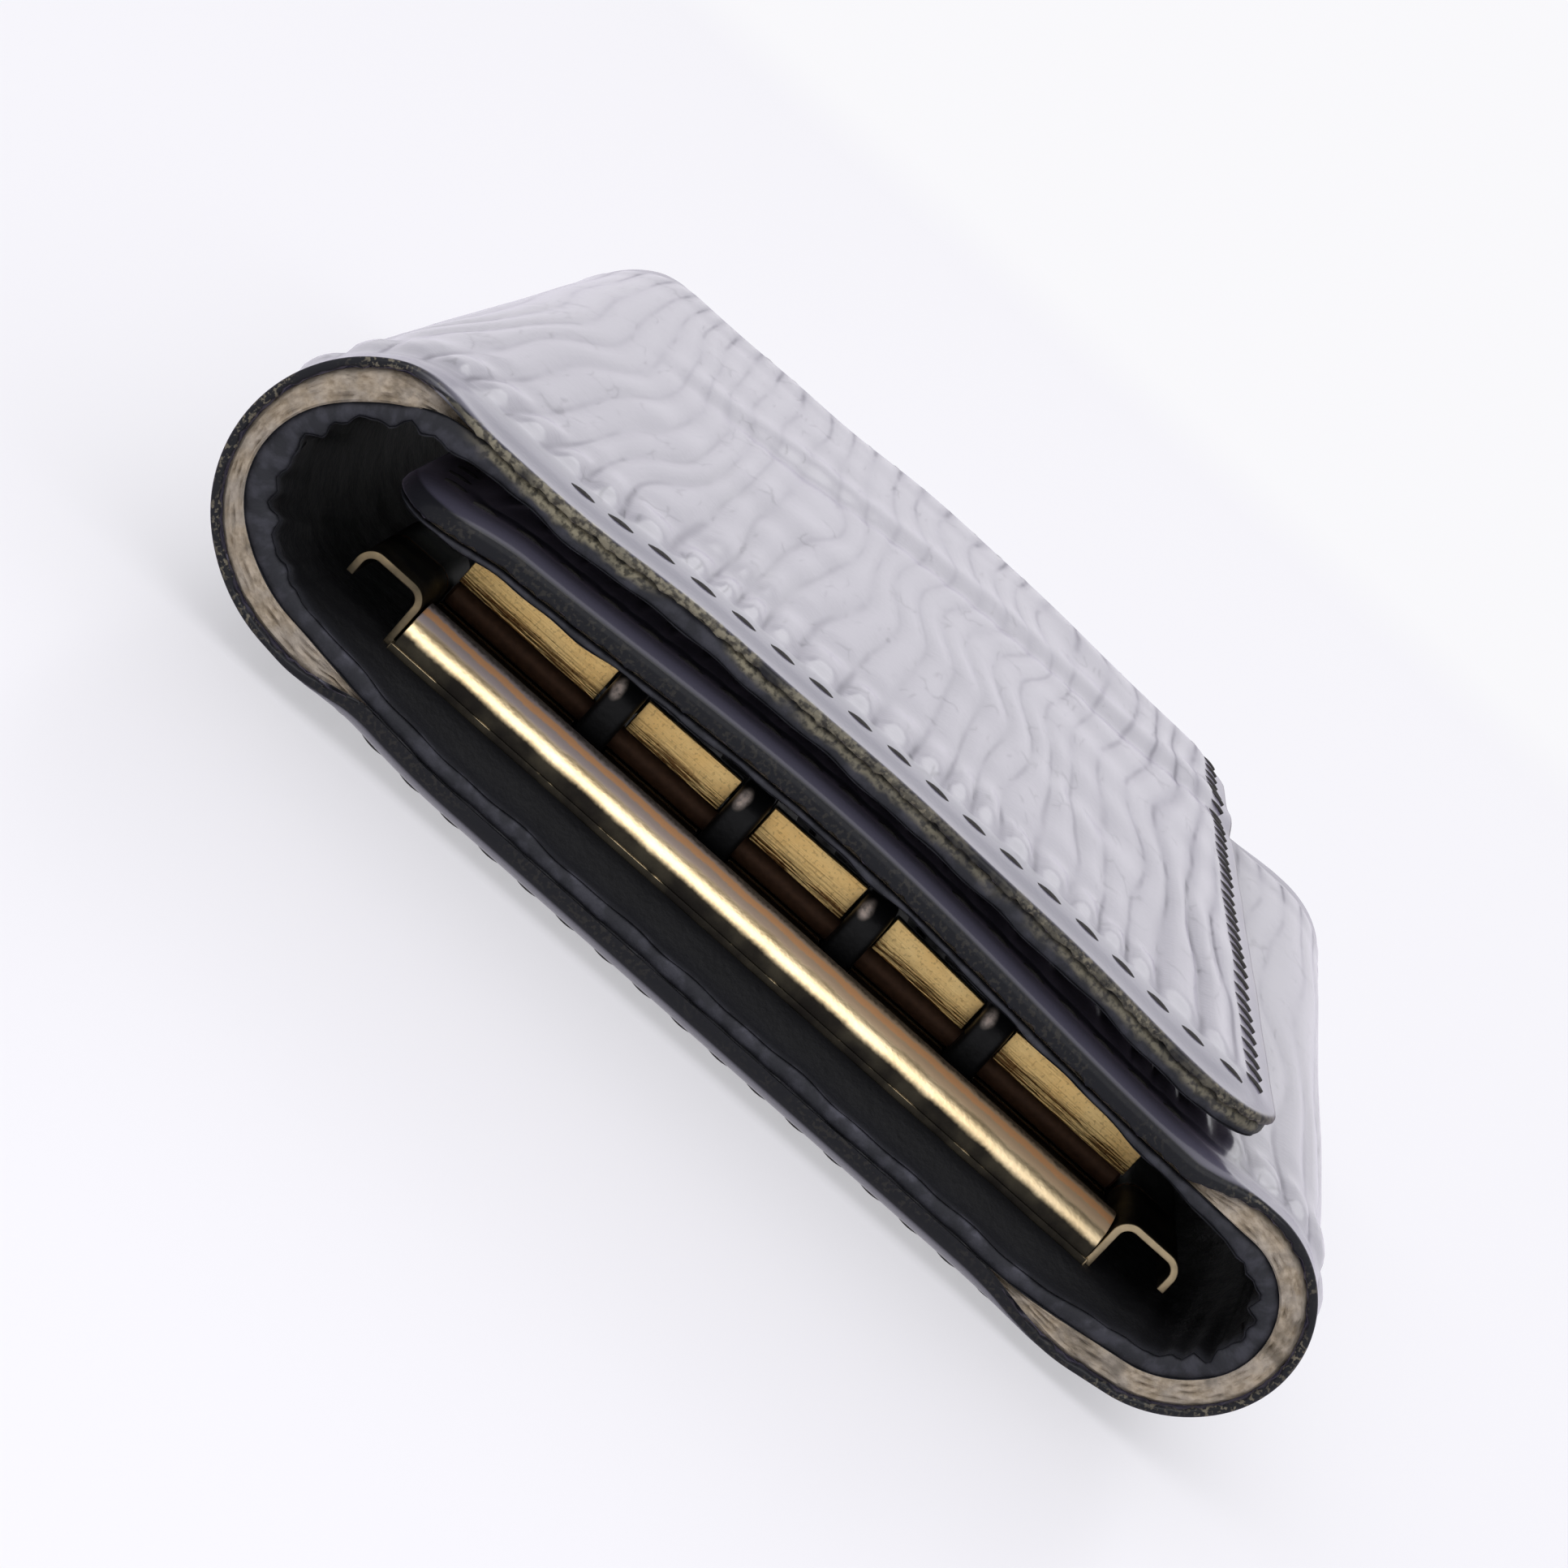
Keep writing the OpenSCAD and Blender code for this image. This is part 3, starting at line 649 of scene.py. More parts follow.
def skin(panel):
    """The outer leather: an embossed face that rolls over the edge."""
    inner_inset = 0.42 * MM

    def outside(s, y, rim):
        from_stud = np.hypot(s - (STUD_X - INNER_EDGE_X), y) / (4 * MM)
        by_stud = np.exp(-from_stud ** 4) * (panel.piece == "inner")
        return face_drop(s, rim) - RELIEF * grain(s, y, rim)[1] * (1 - by_stud)

    def inside(s, y, rim):
        return SKIN_T + face_drop(s, np.maximum(rim - inner_inset, 0.1 * MM))

    def lip_row(inset, share_down):
        def deep(s, y, rim):
            top = face_drop(s, 0 * s)
            lip = SKIN_T + (LIP_DEEP - SKIN_T) * turned(s) - (LIP_DEEP - THIN_LIP_DEEP) * pared(s)
            lip = lip + 0.16 * MM * wander(s + 0.4 * y, (0.9, 0.53, 1.7, 3.1), 21)
            return top + share_down * (lip - top)

        def draw(along):
            ragged = 1 + wander(along, (0.8, 0.47, 1.9, 3.7), 23)
            return inset * MM + 0.17 * MM * ragged * (inset > 0) * (1 - turned(panel.rim_run))

        return panel.row(draw, deep)

    return panel.face(0, outside), panel.face(inner_inset, inside), [lip_row(*row) for row in LIP_ROWS]


def core(panel):
    """The core: a rough cut at the folds, held in under the leather where that is turned over it."""
    def held_in(s):
        return np.maximum(pared(s), 0.3 * turned(s))

    def cut_row(k):
        down = (k + 0.5) / CUT_ROWS

        def draw(along):
            cover = 0.46 * MM * turned(panel.rim_run) * (1 - 0.7 * smooth(down, 0.72, 0.86))
            fibres = wander(along, (0.6, 0.41, 1.3, 2.9), 31 + 2 * k)
            fray = np.clip(cover + (0.12 + 0.16 * (k % 2)) * MM * (0.7 + fibres), 0, 0.9 * MM)
            return fray + 1.2 * MM * held_in(panel.rim_run)

        def deep(s, y, rim):
            top = SKIN_T + 0.8 * np.minimum(face_drop(s, 0 * s), 1 * MM)
            return top + (core_bottom(s) - top) * (0.03 + 0.95 * down)

        return panel.row(draw, deep)

    hold = held_in(panel.run)
    return (panel.face((0.5 + 1.2 * hold) * MM, lambda s, y, rim: SKIN_T + 0.02 * MM + face_drop(s, rim)),
            panel.face((0.3 + 1.4 * hold) * MM, lambda s, y, rim: core_bottom(s)),
            [cut_row(k) for k in range(CUT_ROWS)])


def lining(panel):
    """The lining: a soft sheet with a round edge."""
    def round_row(k):
        angle = math.pi * (k + 0.5) / CUT_ROWS

        def draw(along):
            wavy = 0.1 * MM * (2 + wander(along, (5.3, 2.3, 8.9), 41))
            return np.clip(wavy + 0.34 * MM * (1 - math.sin(angle)), 0, 1 * MM)

        def deep(s, y, rim):
            top = lining_top(s, 0 * s)
            return top + (lining_bottom(s, y, 0 * s) - top) * (0.5 - 0.5 * math.cos(angle))

        return panel.row(draw, deep)

    return (panel.face(0.3 * MM, lambda s, y, rim: lining_top(s, rim)), panel.face(0.3 * MM, lining_bottom),
            [round_row(k) for k in range(CUT_ROWS)])


# %% [markdown]
# Rigid bodies can't bend, so the cover is drawn in four pieces that meet in the middle of each fold and in
# the middle of the back. Each piece crosses one hinge line, between the two bodies that the table names.

# %% The four pieces of the cover
BACK_MIDDLE = (BACK_S + LEFT_FOLD_S) / 2
RIGHT_MIDDLE = (RIGHT_FOLD_S + BACK_S) / 2
LEFT_MIDDLE = (LEFT_FOLD_S + FRONT_S) / 2
PIECES = {
    "inner": (0, RIGHT_MIDDLE, "right_fold", "inner_flap"),
    "back_right": (RIGHT_MIDDLE, BACK_MIDDLE, "back_panel", "right_fold"),
    "back_left": (BACK_MIDDLE, LEFT_MIDDLE, "back_panel", "left_fold"),
    "front": (LEFT_MIDDLE, PATH_END, "left_fold", "front_flap"),
}
LAYERS = {"skin": (skin, 0.36 * MM), "core": (core, 0.5 * MM), "lining": (lining, 0.5 * MM)}
cover = {}
for piece, (start, end, _, _) in PIECES.items():
    for kind, (layer, coarse) in LAYERS.items():
        steps = spread(end - start, 0.3 * MM, coarse, both=False)
        if piece.startswith("back"):
            steps = np.linspace(0, end - start, round((end - start) / coarse))
        run = end - steps[::-1] if piece == "front" else start + steps
        cover[piece, kind] = slab(f"{piece}_{kind}_leather", *layer(Panel(piece, run)))
print("cover faces", sum(len(o.data.polygons) for o in cover.values()))

# %% [markdown]
# The leather's finish follows the sheet, not the room, so it is drawn from the sheet's own measures: along
# the path, along the case and depth. The leather is dark, but its clear coat is what the picture shows: seen
# at a low angle it mirrors the pale room. Creases and worn edges have less coat, so they look dark. The
# creases are also painted darker as painted shade, and so is the inner flap, which lies in the closed gap.

# %% Grained leather


def sheet_places(paint):
    """The point on the sheet, its three parts, and the distance from the rim."""
    [at] = paint.source("ShaderNodeAttribute", "Vector", attribute_name="sheet")
    [edge] = paint.source("ShaderNodeAttribute", "Fac", attribute_name="edge")
    return at, paint.parts(at), edge


def straw(paint, at, dark, pale):
    """The fibres of frayed leather."""
    return paint.mix(paint.noise(at, 0.35, 3.0).step(0.35, 0.6), dark, pale)


def cracked(paint, at):
    """1 in the thin cracks between long bent cells, in patches."""
    bent = paint.vector("MULTIPLY", paint.noise(at, (2, 5, THROUGH), 1.0, NOISE_COLOUR), (0.9,) * 3)
    cells = paint.to_cell_edge(paint.vector("ADD", paint.scaled(at, (1.7, 6.5, THROUGH)), bent))
    return (1 - cells.step(0.0, 0.07)) * paint.noise(at, 3.5, 2.0).step(0.52, 0.62)


def frayed(paint, at, s, deep, edge):
    """1 where the front flap's pared edge is frayed. It is less so towards the right."""
    ragged = deep + (paint.noise(at, 0.5, 3.0) - 0.5) * (0.6 * MM)
    edged = ragged.rise(0.62, 0.78) * (1 - edge.rise(0.25, 0.6)) * s.rise(-5, 0, FRONT_S)
    return edged * (0.85 - 0.5 * s.rise(17, 30, FRONT_S)) * paint.noise(at, 4, 2.0).step(0.3, 0.45)


def specks(paint, at, s):
    """Pale specks where the leather is worn, nearly all of them at the folds."""
    at_fold = s.rise(-2, 2, LEFT_FOLD_S) + s.rise(-3, 0, RIGHT_FOLD_S) * (1 - s.rise(0, 4, BACK_S))
    small = paint.noise(at, 0.25, 4.0).step(0.5, 0.62) * paint.noise(at, 4, 2.0).step(0.4, 0.56)
    return small * (0.12 + 0.88 * at_fold)


def leather():
    paint = Paint("grained_leather")
    at, (s, _, deep), edge = sheet_places(paint)
    [grained] = paint.source("ShaderNodeAttribute", "Vector", attribute_name="grain")
    phase = paint.parts(grained)[0]
    inside = edge.rise(2.6, 3.4)
    by_border = inside * (1 - edge.rise(7, 12))
    wiggle = paint.noise(at, (1.1, 3, THROUGH), 2.0) - 0.5
    between = ((phase + wiggle * 0.08).maths("FRACT") * 2 - 1).maths("ABSOLUTE")
    fold = between.step(0.2, 1.0) * inside
    faint = paint.noise(at, (4, 11, THROUGH), 2.0).step(0.38, 0.6)
    crease = between.step(0.72, 1.0) * inside * (0.05 + faint * 0.75) * (1 - edge.rise(9, 26) * 0.6)
    cracks = cracked(paint, at) * inside
    fine = paint.noise(at, 0.35, 3.0)

    strip = 1 - edge.rise(2.0, 3.0)
    # The inner flap lies in the closed gap under the front flap. Its skin is painted nearly black there and
    # loses most of its coat, as painted shade.
    painted_gap_shade = (1 - s.rise(-7, -1, RIGHT_FOLD_S)) * (0.5 + edge.rise(0.5, 2) * 0.5)
    cut = (1 - edge.rise(0.05, 0.32)) * deep.rise(0.5, 0.75)
    bare = 1 - edge.rise(0.1, 0.4)
    dark = (deep.rise(0.8, 1.15) + bare * (1 - s.rise(-4, 2, FRONT_S)) + cut).clamp()

    colour = paint.mix(paint.noise(at, 9, 3.0), (0.082, 0.077, 0.112), (0.106, 0.1, 0.138))
    # The creases are painted darker here as painted shade. The cracks are dark lines of the grain itself.
    lines = crease * (0.4 + by_border * 0.35) + cracks * 0.5
    colour = paint.mix(lines.clamp(), colour, (0.012, 0.014, 0.024))
    colour = paint.mix((dark + painted_gap_shade * 0.9).clamp(), colour, (0.006, 0.0065, 0.009))
    colour = paint.mix(dark * specks(paint, at, s) * bare * 0.8, colour, (0.17, 0.15, 0.105))
    colour = paint.mix(frayed(paint, at, s, deep, edge), colour,
                       straw(paint, at, (0.04, 0.035, 0.025), (0.21, 0.19, 0.13)))
    rough = 0.3 + fine * 0.06 + crease * 0.2 + dark * 0.4
    shine = (1 - fold * (by_border * 0.25 + 0.1) - crease * 0.28 - cracks * 0.2) * (1 - dark * 0.9)
    shine = shine * (1 - strip * 0.4) * (1 - painted_gap_shade * 0.9)
    relief = paint.bump(fine, 0.014, paint.bump((1 - fold) * (1 - by_border * 0.75), 0.16))
    return paint.finish(Base_Color=colour, Roughness=rough, Normal=relief, Coat_Weight=shine,
                        Coat_Roughness=0.18, Coat_IOR=2.45, Specular_IOR_Level=0.12, Sheen_Weight=0.2,
                        Sheen_Roughness=0.35, Sheen_Tint=(0.88, 0.76, 1.0))


grained_leather = leather()
print("leather nodes", len(grained_leather.node_tree.nodes))

# %% [markdown]
# The core is undyed leather, cut through: tan, fibrous and speckled, darker where hands and pockets have
# rubbed dirt into it. Hair curves could give real fibres, but the cut is so narrow that stretched noise and
# a little relief look the same, at no cost in faces.

# %% Tan core


def core_leather():
    paint = Paint("tan_core")
    at, (_, _, deep), _ = sheet_places(paint)
    fibres = paint.noise(at, (0.5, 0.5, 0.3), 4.0)
    patches = paint.noise(at, 1.6, 3.0)
    dirt = paint.noise(at, 2.4, 4.0).step(0.52, 0.7)
    outer = 1 - deep.rise(0.62, 0.95)
    colour = paint.mix(fibres.step(0.3, 0.7), (0.25, 0.20, 0.135), (0.42, 0.35, 0.26))
    colour = paint.mix(patches.step(0.4, 0.65) * 0.5, colour, (0.34, 0.31, 0.27))
    colour = paint.mix((dirt * 0.55 + outer * 0.5).clamp(), colour, (0.055, 0.045, 0.03))
    relief = paint.bump(fibres * 0.6 + patches * 0.6, 0.22)
    return paint.finish(Base_Color=colour, Roughness=0.85, Normal=relief)


tan_core = core_leather()
print("core nodes", len(tan_core.node_tree.nodes))

# %% [markdown]
# The lining is a soft navy leather with hardly any gloss. Fine pores and slow changes of tone keep it from
# looking like plastic. Its edge is rubbed pale in places, and straw-coloured fibres hang from the front
# flap's edge. On the back's rounded lining edge the pale rub is stronger, part wear and part a painted
# highlight. Away from its rim, inside the case, the lining is painted nearly black as painted shade.

# %% Navy lining


def lining_leather():
    paint = Paint("navy_lining")
    at, (s, _, deep), edge = sheet_places(paint)
    fine = paint.noise(at, 0.3, 3.0)
    tone = paint.noise(at, 4, 3.0)
    rub = paint.noise(at, 1.1, 3.0).step(0.4, 0.66)
    worn = (1 - edge.rise(0.15, 0.8)) * rub
    ragged = deep + (paint.noise(at, 0.7, 3.0) - 0.5) * (0.9 * MM)
    fringe = (1 - edge.rise(0.3, 0.6)) * (1 - ragged.rise(1.55, 1.95))
    fringe = fringe * paint.noise(at, 5, 2.0).step(0.36, 0.5) * s.rise(0, 4, FRONT_S)
    fringe = fringe * (0.9 - 0.35 * s.rise(17, 27, FRONT_S))
    # On the back's rounded lining edge the pale rub is stronger: part wear, part a painted highlight on the
    # ridge.
    ridge = (1 - edge.rise(0.1, 0.7)) * ragged.rise(2.55, 2.9)
    ridge = ridge * (1 - s.rise(0, 6, LEFT_FOLD_S)) * s.rise(0, 3, BACK_S)
    colour = paint.mix(tone, (0.014, 0.0145, 0.018), (0.024, 0.025, 0.030))
    colour = paint.mix((worn * 0.3 + ridge * rub * 0.7).clamp(), colour, (0.085, 0.085, 0.105))
    # Away from its rim, inside the case, the lining is painted nearly black as painted shade.
    colour = paint.mix(edge.rise(0.5, 2.2), colour, (0.0025, 0.0026, 0.0035))
    colour = paint.mix(fringe, colour, straw(paint, at, (0.05, 0.045, 0.03), (0.25, 0.225, 0.15)))
    relief = paint.bump(fine, 0.05, paint.bump(tone, 0.3))
    return paint.finish(Base_Color=colour, Roughness=0.6 + fine * 0.15, Normal=relief,
                        Specular_IOR_Level=0.25)


navy_lining = lining_leather()
print("lining nodes", len(navy_lining.node_tree.nodes))

# %% [markdown]
# Each piece now gets its finish and stands in for its model nodes.

# %% Finish the cover pieces
FINISH = {"skin": grained_leather, "core": tan_core, "lining": navy_lining}
NODES = {
    "inner": ("inner_flap",),
    "back_right": ("right_fold",),
    "back_left": ("back",),
    "front": ("front_flap", "left_fold"),
}
for (piece, kind), made in cover.items():
    made.data.materials.append(FINISH[kind])
    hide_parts(*(f"{node}_{kind}" for node in NODES[piece]))
    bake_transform(made)
print("cover pieces", len(cover))

# %% [markdown]
# Thread holds the layers together in a row near every edge. A row follows a curve, which is laid on the
# leather first, by the same path as the cover.

# %% Stitch curves
CURVE_POINTS = 200
SAME_POINT = 0.02 * MM


def stitch_line(name, piece, s_from, s_to):
    """A curve on the outer leather, STITCH_IN from the panel's edges, between two places on the path."""
    s = np.linspace(s_from, s_to, CURVE_POINTS)
    near = np.array(plan(piece, s, 0 * s, STITCH_IN))
    far = np.array(plan(piece, s, 0 * s + 1, STITCH_IN))[:, ::-1]
    if piece == "inner":
        near, far = near[:, ::-1], far[:, ::-1]
    across = np.linspace(near[:, -1], far[:, 0], CURVE_POINTS, axis=1)
    data = bpy.data.curves.new(name, "CURVE")
    data.dimensions = "3D"
    lines = [near, far] if piece == "back" else [np.hstack([near, across, far])]
    for run, along in lines:
        points = place(run, along, face_drop(run, rim_distance(to_free_edge(run, piece), along)))
        keep = np.concatenate([[True], np.linalg.norm(np.diff(points, axis=0), axis=1) > SAME_POINT])
        points = points[keep]
        spline = data.splines.new("POLY")
        spline.points.add(len(points) - 1)
        spline.points.foreach_set("co", np.c_[points, np.ones(len(points))].ravel())
    made = bpy.data.objects.new(name, data)
    bpy.context.scene.collection.objects.link(made)
    return made


# %% [markdown]
# The thread is waxed and nearly black. Fine noise stands for its twisted strands, which are far too thin to
# model one by one.

# %% Dark thread


def thread():
    paint = Paint("dark_thread")
    [point] = paint.source("ShaderNodeTexCoord", "Object")
    strands = paint.noise(point, 0.16, 2.0)
    colour = paint.mix(strands, (0.008, 0.008, 0.009), (0.035, 0.031, 0.026))
    return paint.finish(Base_Color=colour, Roughness=0.75, Normal=paint.bump(strands, 0.06))


dark_thread = thread()
print("thread nodes", len(dark_thread.node_tree.nodes))

# %% [markdown]
# One stitch is a small arch of thread whose ends sink into the leather. Geometry Nodes put one at each pitch
# along a curve, turned along it, so the pitch and the thread are single numbers.

# %% The stitching tree
STITCH_STEPS, THREAD_SIDES = 8, 8
SINK = 1.4
INPUT_KINDS = {"Geometry": "Geometry", "Pitch": "Float", "Stitch length": "Float", "Thread radius": "Float",
               "Side": "Float", "Thread": "Material"}
sewing_group = bpy.data.node_groups.new("stitching", "GeometryNodeTree")
INPUTS = {}
for label, kind in INPUT_KINDS.items():
    socket = sewing_group.interface.new_socket(label, in_out="INPUT", socket_type="NodeSocket" + kind)
    INPUTS[label] = socket.identifier
sewing_group.interface.new_socket("Geometry", in_out="OUTPUT", socket_type="NodeSocketGeometry")

sewing = Tree(sewing_group)
line, pitch, length, radius, side, finish = sewing.source("NodeGroupInput", *INPUT_KINDS)
spaced = sewing.add("GeometryNodeResampleCurve", {"mode": "LENGTH"}, {"Curve": line, "Length": pitch})[0]
places = sewing.add("GeometryNodeCurveToPoints", {"mode": "EVALUATED"}, {"Curve": spaced})[0]
tangent = sewing.add("GeometryNodeInputTangent")[0]
lie = sewing.add("FunctionNodeAlignEulerToVector", {"axis": "X"}, {"Vector": tangent})[0]
lift = radius * side
half = length * 0.5
sink = lift * -SINK
start, end = (sewing.add("ShaderNodeCombineXYZ", None, {"X": x, "Z": sink})[0] for x in (half * -1.0, half))
top = sewing.add("ShaderNodeCombineXYZ", None, {"Z": lift})[0]
arch = sewing.add("GeometryNodeCurveQuadraticBezier", None,
                  {"Resolution": STITCH_STEPS, "Start": start, "Middle": top, "End": end})[0]
loop = sewing.add("GeometryNodeCurvePrimitiveCircle", None,
                  {"Resolution": THREAD_SIDES, "Radius": radius})[0]
stitch = sewing.add("GeometryNodeCurveToMesh", None,
                    {"Curve": arch, "Profile Curve": loop, "Fill Caps": True})[0]
placed = sewing.add("GeometryNodeInstanceOnPoints", None,
                    {"Points": places, "Instance": stitch, "Rotation": lie})[0]
real = sewing.add("GeometryNodeRealizeInstances", None, {"Geometry": placed})[0]
painted = sewing.add("GeometryNodeSetMaterial", None, {"Geometry": real, "Material": finish})[0]
sewing.add("NodeGroupOutput", None, {"Geometry": painted})
print("stitching nodes", len(sewing_group.nodes))

# %% [markdown]
# Each panel has its own row, which rides on the panel's body. The back's row is seen from below, so its
# stitches arch the other way. The result is turned into a plain mesh.

# %% Sew the panels
ROWS = {
    "front_stitches": ("front", FRONT_S + 7 * MM, PATH_END, "front_flap"),
    "inner_stitches": ("inner", 0, RIGHT_FOLD_S - 7 * MM, "inner_flap"),
    "back_stitches": ("back", BACK_S + 5 * MM, LEFT_FOLD_S - 5 * MM, "back_panel"),
}
THREAD = {"Pitch": 2.5 * MM, "Stitch length": 2.0 * MM, "Thread radius": 0.16 * MM, "Thread": dark_thread}


def as_mesh(made):
    """The object's mesh with its modifiers applied."""
    graph = bpy.context.evaluated_depsgraph_get()
    return bpy.data.meshes.new_from_object(made.evaluated_get(graph), depsgraph=graph)


for name, (piece, s_from, s_to, body) in ROWS.items():
    line = stitch_line(name + "_line", piece, s_from, s_to)
    sew = line.modifiers.new("sew", "NODES")
    sew.node_group = sewing_group
    sizes = {**THREAD, "Side": -1.0 if piece == "back" else 1.0}
    for label, value in sizes.items():
        sew[INPUTS[label]] = value
    bpy.context.view_layer.update()
    made = shown(name, as_mesh(line))
    bpy.data.objects.remove(line)
    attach(made, body)
    print(name, len(made.data.polygons), "faces")

# %% [markdown]
# The metal parts keep the model's shape, but no real edge is perfectly sharp. A copy of each part is merged
# into one skin and gets a small bevel, which catches the light along the edges. A part that is a little out
# of shape on the real case is reshaped before its bevel.

# %% Soften the metal
MERGE = 0.001 * MM
SAME_FACE, BEVEL_FROM, METAL_SHARP = (math.radians(a) for a in (1, 35, 40))


def softened(node, width, body, finish, reshape=None):
    """A bevelled copy of a metal node. reshape says how far each point is raised."""
    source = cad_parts[node]
    mesh = source.data.copy()
    mesh.transform(source.matrix_world)
    mesh.materials.clear()
    mesh.materials.append(finish)
    form = bmesh.new()
    form.from_mesh(mesh)
    bmesh.ops.remove_doubles(form, verts=form.verts, dist=MERGE)
    bmesh.ops.dissolve_limit(form, angle_limit=SAME_FACE, verts=form.verts, edges=form.edges)
    if reshape:
        for point in form.verts:
            point.co.z += reshape(point.co)
    form.to_mesh(mesh)
    form.free()
    rough = shown(node + "_rough", mesh)
    bevel = rough.modifiers.new("bevel", "BEVEL")
    bevel.width = width
    bevel.segments = 2
    bevel.limit_method = "ANGLE"
    bevel.angle_limit = BEVEL_FROM
    bevel.use_clamp_overlap = True
    made = shown(node + "_metal", as_mesh(rough), METAL_SHARP)
    bpy.data.objects.remove(rough)
    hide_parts(node)
    if body:
        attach(made, body)
    return made


# %% [markdown]
# The fitting is old brass. It is bright where keys and fingers polish it, on the upper front of the round
# bead and on the cut faces of the knuckles, and dark olive where nothing touches it. Noise alone would spread
# that wear evenly, so each mark is placed by the plate's own measures, and noise only frays its edges. The
# bead's crown is painted grey to tan with a thin orange band, as painted reflections, and the mounting
# plate's channel is painted dark as painted shade.

# %% Aged brass
PLATE_LOW, PLATE_HIGH = low("hook_plate"), high("hook_plate")
PLATE_X = (PLATE_LOW[0] + PLATE_HIGH[0]) / 2
PLATE_HALF = (PLATE_HIGH[0] - PLATE_LOW[0]) / 2
BEAD_Z = PLATE_LOW[2]
BEAD_Y = PLATE_LOW[1] + 2.2 * MM
CHANNEL_Y = NEAR_Y + 4 * MM
ROD_Y = middle("hook_rod")[1]
FACE_Y = ROD_Y - 0.8 * MM
KNUCKLE_LIFT = 0.75 * MM
KNUCKLE_TOP = PLATE_HIGH[2] + KNUCKLE_LIFT


def brass():
    paint = Paint("aged_brass")
    [point] = paint.source("ShaderNodeTexCoord", "Object")
    x, y, z = paint.parts(point)
    fine = paint.noise(point, 0.25, 3.0)
    cloud = paint.noise(point, 2.2, 4.0)
    streaks = paint.noise(point, (2.5, 0.3, 0.1), 3.0)
    level = z + (cloud - 0.5) * (0.25 * MM)
    wavy = y + (cloud - 0.5) * (0.35 * MM) + (fine - 0.5) * (0.15 * MM)

    off_plate = (x - PLATE_X).maths("ABSOLUTE").rise(0.02, 0.1, PLATE_HALF)
    on_bead = 1 - y.rise(1.2, 1.8, BEAD_Y)
    low_down = 1 - (level + (fine - 0.5) * (0.3 * MM)).rise(0.4, 1.25, BEAD_Z)
    lip = z.rise(-0.06, -0.03, BEAD_Z) * (1 - z.rise(0.03, 0.06, BEAD_Z)) * cloud.step(0.45, 0.6) * 0.5
    # The bead's crown is painted grey to tan, duller than metal, with a thin orange band in it, as painted
    # reflections.
    painted_reflection_crown = level.rise(1.45, 1.7, BEAD_Z) * on_bead * (1 - off_plate)
    painted_orange_reflection = painted_reflection_crown * wavy.rise(-1.15, -1.0, BEAD_Y) * (1 - wavy.rise(-0.75, -0.6, BEAD_Y))
    olive = wavy.rise(-0.8, -0.3, BEAD_Y) * on_bead * (1 - off_plate)
    front = 1 - y.rise(-0.2, -0.15, FACE_Y)
    face = (1 - front) * (1 - y.rise(0.05, 0.3, FACE_Y)) * z.rise(1.5, 1.8, BEAD_Z)
    behind = y.rise(0.05, 0.5, FACE_Y)
    low_face = 1 - z.rise(-1.75, -1.2, KNUCKLE_TOP)
    torn = face * low_face * streaks.step(0.47, 0.55)
    pits = face * (1 - paint.noise(point, 0.2, 4.0).step(0.36, 0.46))

    valley = (1 - on_bead) * front
    patina = (on_bead * low_down * (1 - lip) + olive * 0.62 + valley * 0.85 + behind * 0.85).clamp()
    patina = (patina + (fine - 0.5) * 0.3 * patina.step(0.2, 0.5) * (1 - patina.step(0.6, 0.9) * 0.7)).clamp()
    # Beside the hook plate, the mounting plate is painted dark behind its thin front edge. This is painted
    # shade inside its channel, over cloudy tarnish, and it grows a little towards the left.
    channel_shade_and_tarnish = y.rise(0.03, 0.2, CHANNEL_Y) * 0.4 + cloud * 0.5 + 0.2 + 0.2 * (1 - x.rise(-5, 5))
    patina = (patina * (1 - off_plate) + off_plate * channel_shade_and_tarnish).clamp()

    bright = paint.mix(cloud, (0.92, 0.68, 0.36), (0.98, 0.81, 0.54))
    bright = paint.mix(painted_reflection_crown, bright, paint.mix(x.rise(-15, 12), (0.50, 0.42, 0.40), (0.66, 0.47, 0.29)))
    bright = paint.mix((painted_orange_reflection * 0.9).clamp(), bright, (0.95, 0.50, 0.22))
    bright = paint.mix(face, bright, paint.mix(cloud, (0.95, 0.59, 0.20), (1.0, 0.78, 0.38)))
    dull = paint.mix(cloud.step(0.35, 0.7), (0.009, 0.007, 0.005), (0.040, 0.034, 0.022))
    colour = paint.mix(patina.step(0.1, 0.8), bright, dull)
    colour = paint.mix((torn * 0.9 + pits * 0.3).clamp(), colour, (0.20, 0.09, 0.03))
    rough = 0.3 + patina * 0.25 + fine * 0.08 + painted_reflection_crown * 0.2 + face * 0.14
    relief = paint.bump(streaks * face * (0.2 + low_face * 0.8), 0.1, paint.bump(fine, 0.012))
    return paint.finish(Base_Color=colour, Roughness=rough, Metallic=1 - patina * 0.2 - painted_reflection_crown * 0.5,
                        Normal=relief)


aged_brass = brass()
print("brass nodes", len(aged_brass.node_tree.nodes))

# %% [markdown]
# The row of knuckles is bent up at its front on the real case, and each cut face's upper edge slopes its own
# way. The plate's points are raised by a rule, which can be used for the hooks' heads too, so that they rise
# with it.

# %% Plates


def nose(point):
    """1 at the front of the curled row, 0 behind it and below it."""
    return float((1 - rise(point.y, 0.6, 2.4, ROD_Y)) * rise(point.z, 1.9, 2.8, BEAD_Z))


def knuckle_wear(point):
    uneven = 0.2 * MM * math.sin(point.x / (3.1 * MM) + 1.1) * (point.z > PLATE_HIGH[2] - 0.6 * MM)
    lower = 0.3 * MM * rise(point.x, 6, 20)
    return nose(point) * (KNUCKLE_LIFT + uneven - lower)


